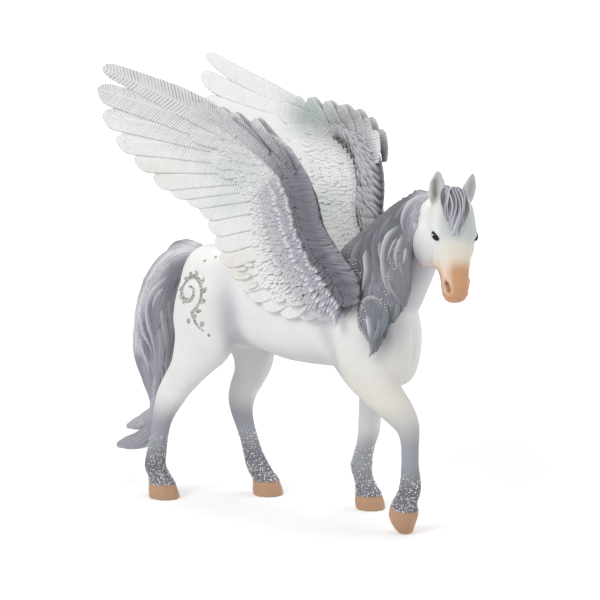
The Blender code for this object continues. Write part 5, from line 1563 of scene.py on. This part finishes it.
def outer_colour(points):
    """From the arm backwards: dark grey-lilac, lilac bands, then a pale grey with mint spots."""
    away, place = near_arm(points)
    hand = smoothstep(0.38, 0.46, place)
    dark = smoothstep(0.9, -1.0, away) * np.interp(
        place, [0, 0.32, 0.42, 0.50, 0.58, 0.8, 1], [1, 1, 0.8, 0.5, 0.25, 0.1, 0.06])
    # A painted shadow line where the hand's coverts lie over the secondaries
    hand_edge_painted_shadow = [(-3.0, 0.0, 122.8), (2.0, 0.0, 120.4), (8.0, 0.0, 116.4), (14.5, 0.0, 112.0)]
    ahead = points[:, 0] - np.interp(points[:, 2], ARM[:20, 2], ARM[:20, 0])
    return coats(
        points, WING_PALE, (BAND_PALE, smoothstep(16.0, 9.0, away) * (1 - 0.75 * hand)),
        (BAND_LILAC, smoothstep(9.0, 2.5, away) * (1 - 0.8 * hand)),
        (WING_MINT, 0.5 * around(points, -5, 105, 10, 5)), (WING_MINT, 0.45 * around(points, -9, 96, 7, 3.5)),
        (WING_CREAM, 0.7 * around(points, -34, 104, 7, 3) + 0.9 * around(points, -8, 76, 6, 5)),
        (ARM_DARK, dark), (ARM_DARK, 0.75 * near_path(points * [1.0, 0.0, 1.0], hand_edge_painted_shadow, 0.55)),
        # Painted highlight along the forward part of the arm
        (ARM_EDGE_HIGHLIGHT, 0.8 * dark * smoothstep(2.0, 5.0, ahead)))


def inner_colour(points):
    """Nearly white, with neutral grey leaves on the arm and mint-grey coverts on the hand."""
    away, place = near_arm(points)
    return coats(
        points, INNER_WHITE, (INNER_MINT, 0.9 * around(points, -8, 122, 8, 6)),
        (INNER_GREY, 0.85 * around(points, 7, 119, 11, 6)), (WING_MINT, 0.5 * around(points, 3, 94, 6, 5)),
        (LEAF_GREY, smoothstep(2.0, -0.5, away) * smoothstep(0.60, 0.48, place)))


def groove_strength(points, faces):
    """How much darker the grooves are: most by the leading edge, little on the pale vanes."""
    away, place = near_arm(points)
    edge = smoothstep(7.0, 1.0, away) * np.interp(points[:, 0], [-50, -30, -12, 0], [0.22, 0.28, 0.5, 0.95])
    bands = smoothstep(24.0, 10.0, away) * np.interp(points[:, 2], [70, 82], [0.6, 0.9])
    outer = np.maximum(0.30, np.maximum(edge * smoothstep(76, 84, points[:, 2]), bands))
    outer = np.where(away < 0.5, np.maximum(outer, 0.9), outer)
    inner = np.maximum(0.16, edge * np.interp(points[:, 0], [-35, -12], [0.35, 1.0]))
    inner = np.where(away < 1.0, np.maximum(inner, 0.95 * smoothstep(0.62, 0.5, place)), inner)
    return np.where(faces > 0, outer, inner)


def wing_mesh(name, parts, mirror, tips=0.0, gaps=0.0):
    """One mesh of many shells, with its paint; the left wing is the mirror image with a dipped hand.

    tips is how far the small feathers' ends were brushed white, and gaps how dark the painted
    shade lies between the leaves of the inner face.
    """
    corners, quads, fans = merged([part for part, _ in parts])
    relief, ends, faces = (np.concatenate([values[k] for _, values in parts]) for k in range(3))
    colour = np.where(faces[:, None] > 0, outer_colour(corners), inner_colour(corners))
    colour = sprayed(colour, TIP_WHITE, tips * smoothstep(0.6, 0.95, ends))
    # Painted shade between the leaves of the inner face, at their roots
    colour = sprayed(colour, LEAF_GAP_PAINTED_SHADE, gaps * (faces < 0) * smoothstep(0.40, 0.05, ends))
    relief = 1 - (1 - relief) * groove_strength(corners, faces)
    if mirror:
        along = np.clip((WING_WRIST[0] - corners[:, 0]) / PRIMARY_LENGTH, 0, 1)
        corners = corners * np.array([1.0, -1.0, 1.0])
        corners[:, 2] -= LEFT_WING_DIP * np.sin(np.pi * along)
        quads, fans = quads[:, ::-1], fans[:, ::-1]
    mesh = mesh_from(name, corners, quads, fans)
    set_value(mesh, "relief", relief)
    set_paint(mesh, "paint", colour)
    return mesh


def feather_plastic(name, groove, ridge):
    """Satin plastic: the sprayed colour, greyer in the grooves and paler on the ridges."""
    material, output = new_material(name)
    place = object_place(material)
    cloud = noise(material, 260.0, 4.0, Vector=place)
    depth = worked(material, "SUBTRACT", 1.0, attribute(material, "relief"))
    groove_darkening = worked(material, "MULTIPLY", depth, ranged(material, cloud, 0.6, 1.3, 0.3, 0.7), clamp=True)
    tone = ranged(material, groove_darkening, ridge, groove)
    grain = noise(material, 4200.0, 3.0, Vector=place)
    return surfaced(material, output, {
        "Base Color": toned(material, attribute(material, "paint", "Color"), tone),
        "Roughness": ranged(material, cloud, 0.46, 0.58, 0.3, 0.7),
        "Normal": bumped(material, grain, 0.25, 0.0001), "Specular IOR Level": 0.4})


vane_plastic = feather_plastic("flight_feather_plastic", 0.38, 1.04)
covert_plastic = feather_plastic("covert_plastic", 0.36, 1.06)
arm_plastic = feather_plastic("wing_arm_plastic", 0.36, 1.08)
for mirror, node in ((False, "right_wing"), (True, "left_wing")):
    arm = wing_mesh(node + "_arm", [arm_skin(), root_pad()] + arm_leaves(), mirror, gaps=0.9)
    show(arm, arm_plastic, "wing_plastic", node)
    flights = wing_mesh(node + "_flight_feathers", flight_feathers(), mirror)
    show(flights, vane_plastic, "wing_plastic")
    for face, label in ((1.0, "outer"), (-1.0, "inner")):
        rows = covert_row(face, 22, 0.085, 0.488, 0.47, 0.42, 7.0, (0.9, 0.7), 0.9)
        rows += covert_row(face, 26, 0.075, 0.484, 0.30, 0.35, 5.2, (1.3, 0.95), 0.8)
        rows += hand_coverts(face, mirror)
        coverts = wing_mesh(f"{node}_{label}_coverts", rows, mirror)
        show(coverts, covert_plastic, "wing_plastic")
        scales = wing_mesh(f"{node}_{label}_down", small_feathers(face) + cream_tufts(face), mirror, 0.8)
        show(scales, covert_plastic, "wing_plastic")

# The haunch ornament: silver-grey decoration pressed on in low relief, the same on both haunches.
# A curled sprig with small leaves and a row of dots that follow its curve.
SPRIG_MIDDLE = (-28.0, 66.5)
SPRIG_DOTS = [(3.4, -7.0, 0.7), (6.2, -9.4, 0.8), (1.0, -9.0, 0.8), (8.6, -12.6, 0.45), (2.6, 9.2, 0.5),
              (6, 10.6, 0.42), (9, 10.8, 0.36), (-8, 3, 0.42), (-8.6, -0.4, 0.5), (-7.6, -4, 0.42)]


def on_haunch(points, side, lift):
    """Points given forward and up from the sprig's middle, set on the skin, and its normals."""
    found, turned = [], []
    for forward, up in points:
        start = (SPRIG_MIDDLE[0] + forward, 40.0 * side, SPRIG_MIDDLE[1] + up)
        place, normal, _, _ = SKIN_TREE.ray_cast(start, (0.0, -side, 0.0))
        found.append(np.array(place) + np.array(normal) * lift)
        turned.append(np.array(normal))
    return np.array(found), unit(np.array(turned))


def inlay(points, halves, side, height=0.16):
    """A raised ribbon along points on the haunch; its half width follows halves."""
    centres, out = on_haunch(points, side, 0.02)
    along = tangents(centres)
    out = unit(out - along * np.sum(out * along, axis=1, keepdims=True))
    halves = np.asarray(halves, dtype=float)
    tall = height * np.clip(halves / halves.max(), 0.15, 1) ** 0.5
    radii = np.stack([tall, np.full_like(tall, 0.3), halves, halves], 1)
    return closed_tube(oval_rings(centres, out, np.cross(along, out), radii, 12))


def sprig(side):
    """The stem's curl is a spiral whose radius falls from 6.2 to 1.3 over one and a half turns."""
    made = []
    turn = np.linspace(0, 1, 56)
    angle = np.radians(-70 + 540 * turn)
    radius = 6.2 - 4.9 * turn**0.8
    curl = np.stack([radius * np.cos(angle), radius * np.sin(angle)], 1)
    made.append(inlay(curl, 0.32 + 0.50 * np.sin(np.pi * np.clip(turn * 1.1, 0, 1)), side))
    stem = [(2.1, -5.8), (3.2, -8.2), (4.8, -10.2), (7.0, -11.6)]
    stem = smooth_rows([(a, 0, b) for a, b in stem], 16)[:, [0, 2]]
    made.append(inlay(stem, np.linspace(0.7, 0.2, 16), side))
    for share in np.arange(0.02, 0.62, 0.06):
        at = int(share * 55)
        base, way = curl[at], unit(curl[at + 1] - curl[at])
        out = np.array([way[1], -way[0]])
        length = 2.6 - 1.6 * share
        leaf_way = unit(way * 0.7 + out)
        bend = np.linspace(0, 1, 10)[:, None]
        points = base + leaf_way * length * bend + way * 0.5 * bend**2
        made.append(inlay(points, 0.05 + 0.72 * np.sin(np.pi * bend[:, 0]) * (1 - 0.4 * share), side, 0.2))
    for forward, up, half in SPRIG_DOTS:
        spots = np.array([(forward + half * t, up) for t in np.linspace(-1, 1, 9)])
        made.append(inlay(spots, 0.04 + half * np.sqrt(1 - np.linspace(-1, 1, 9) ** 2), side, 0.18))
    return made


def silver_print():
    """Silver-grey foil: pale and dark flecks from a fine cell pattern, half metallic."""
    material, output = new_material("silver_grey_foil")
    cells = add_node(material, "ShaderNodeTexVoronoi", {"Vector": object_place(material), "Scale": 2600.0})
    fleck = add_node(material, "ShaderNodeSeparateColor", {"Color": cells.outputs["Color"]})
    return surfaced(material, output, {
        "Base Color": mixed(material, fleck.outputs[0], (0.16, 0.16, 0.15), (0.62, 0.62, 0.60)),
        "Metallic": 0.45, "Roughness": ranged(material, fleck.outputs[1], 0.28, 0.6)})


ornament = mesh_from("haunch_ornament", *merged(sprig(-1.0) + sprig(1.0)))
show(ornament, silver_print(), "horse_plastic")

# Glitter: fine silver flakes that were glued on with varnish. They lie thick above the hooves and
# along the top of the tail, and thinner on the mane's rear edge, a middle lock and the wing tips.


def flakes(points, normals, size):
    """A flat eight-faced flake at each point, turned at random but lying near the surface."""
    count = len(points)
    out = unit(normals + 0.45 * draw.normal(size=(count, 3)))
    first = unit(np.cross(out, draw.normal(size=(count, 3))))
    second = np.cross(out, first)
    size = (size * draw.uniform(0.6, 1.3, count))[:, None]
    base = points + normals * 0.05
    six = np.stack([base + first * size, base + second * size, base - first * size, base - second * size,
                    base + out * size * 0.3, base - out * size * 0.3], 1)
    start = np.arange(count)[:, None, None] * 6
    faces = np.array([(0, 1, 4), (1, 2, 4), (2, 3, 4), (3, 0, 4), (1, 0, 5), (2, 1, 5), (3, 2, 5), (0, 3, 5)])
    return six.reshape(-1, 3), np.zeros((0, 4), dtype=int), (start + faces).reshape(-1, 3)


def scattered(mesh, weight_of, count, size):
    """Flakes at random open corners of a mesh, chosen with the weights that weight_of gives.

    A corner is open where nothing of the mesh lies within 3 mm outside it.
    """
    spots, turned = corners_of(mesh)
    weight = weight_of(spots) * (draw.uniform(size=len(spots)) < 0.5)
    tries = min(3 * count, np.count_nonzero(weight))
    picked = draw.choice(len(spots), size=tries, replace=False, p=weight / weight.sum())
    tree = BVHTree.FromPolygons(spots.tolist(), [tuple(face.vertices) for face in mesh.polygons])
    free = [number for number in picked
            if tree.ray_cast(spots[number] + 0.05 * turned[number], turned[number], 3.0)[0] is None][:count]
    return flakes(spots[free], turned[free], size)


def leg_glitter(points):
    """Thick on the coronet and the pastern, with a few specks up to the fetlock."""
    x, y, z = points.T
    lift = z - np.where(x > 42.0, 7.4 - 0.16 * (x - 49.0), 4.6)
    return ((lift > 0.0) & (z < 20)) * (np.exp(-((lift / 2.0) ** 2)) + 0.0015)


def tail_glitter(points):
    """Along the rear top of the tail, and at its end."""
    x, y, z = points.T
    top = smoothstep(-44.0, -50.0, x) * smoothstep(56.0, 66.0, z)
    rear = top + 0.4 * smoothstep(-52.0, -56.0, x) * (z > 40)
    return rear * (x < -38.0) + 0.8 * smoothstep(25.0, 21.0, z) + 1e-6


def mane_glitter(points):
    """On the mane's rear edge beside the wing, and down a lock in its middle."""
    middle_lock = [(50.0, -9.0, 88.0), (46.6, -12.6, 80.0), (46.0, -14.6, 74.0), (47.0, -14.6, 70.0)]
    rear = [(29.4, -6.0, 84.0), (33.0, -11.0, 79.0), (36.0, -13.5, 74.0), (38.5, -14.8, 68.0),
            (38.6, -15.4, 62)]
    return near_path(points, middle_lock, 1.5) + near_path(points, rear, 2.2) + 1e-6


def wing_glitter(points):
    """On the tips of the primaries."""
    x, y, z = points.T
    return smoothstep(-38.0, -46.0, x) * smoothstep(100.0, 108.0, z) * (y < 0) + 1e-6


sparks = [scattered(skin, leg_glitter, 2200, 0.32), scattered(tail, tail_glitter, 1500, 0.26),
          scattered(mane, mane_glitter, 800, 0.26),
          scattered(bpy.data.meshes["right_wing_flight_feathers"], wing_glitter, 160, 0.24)]
glitter = mesh_from("glitter", *merged(sparks))
silver, silver_output = new_material("silver_glitter")
spark_noise = noise(silver, 1800.0, Vector=object_place(silver))
surfaced(silver, silver_output, {
    "Base Color": mixed(silver, spark_noise, (0.55, 0.56, 0.60), (1.0, 1.0, 1.0)),
    "Metallic": 0.55, "Roughness": 0.25})
show(glitter, silver, "horse_plastic")
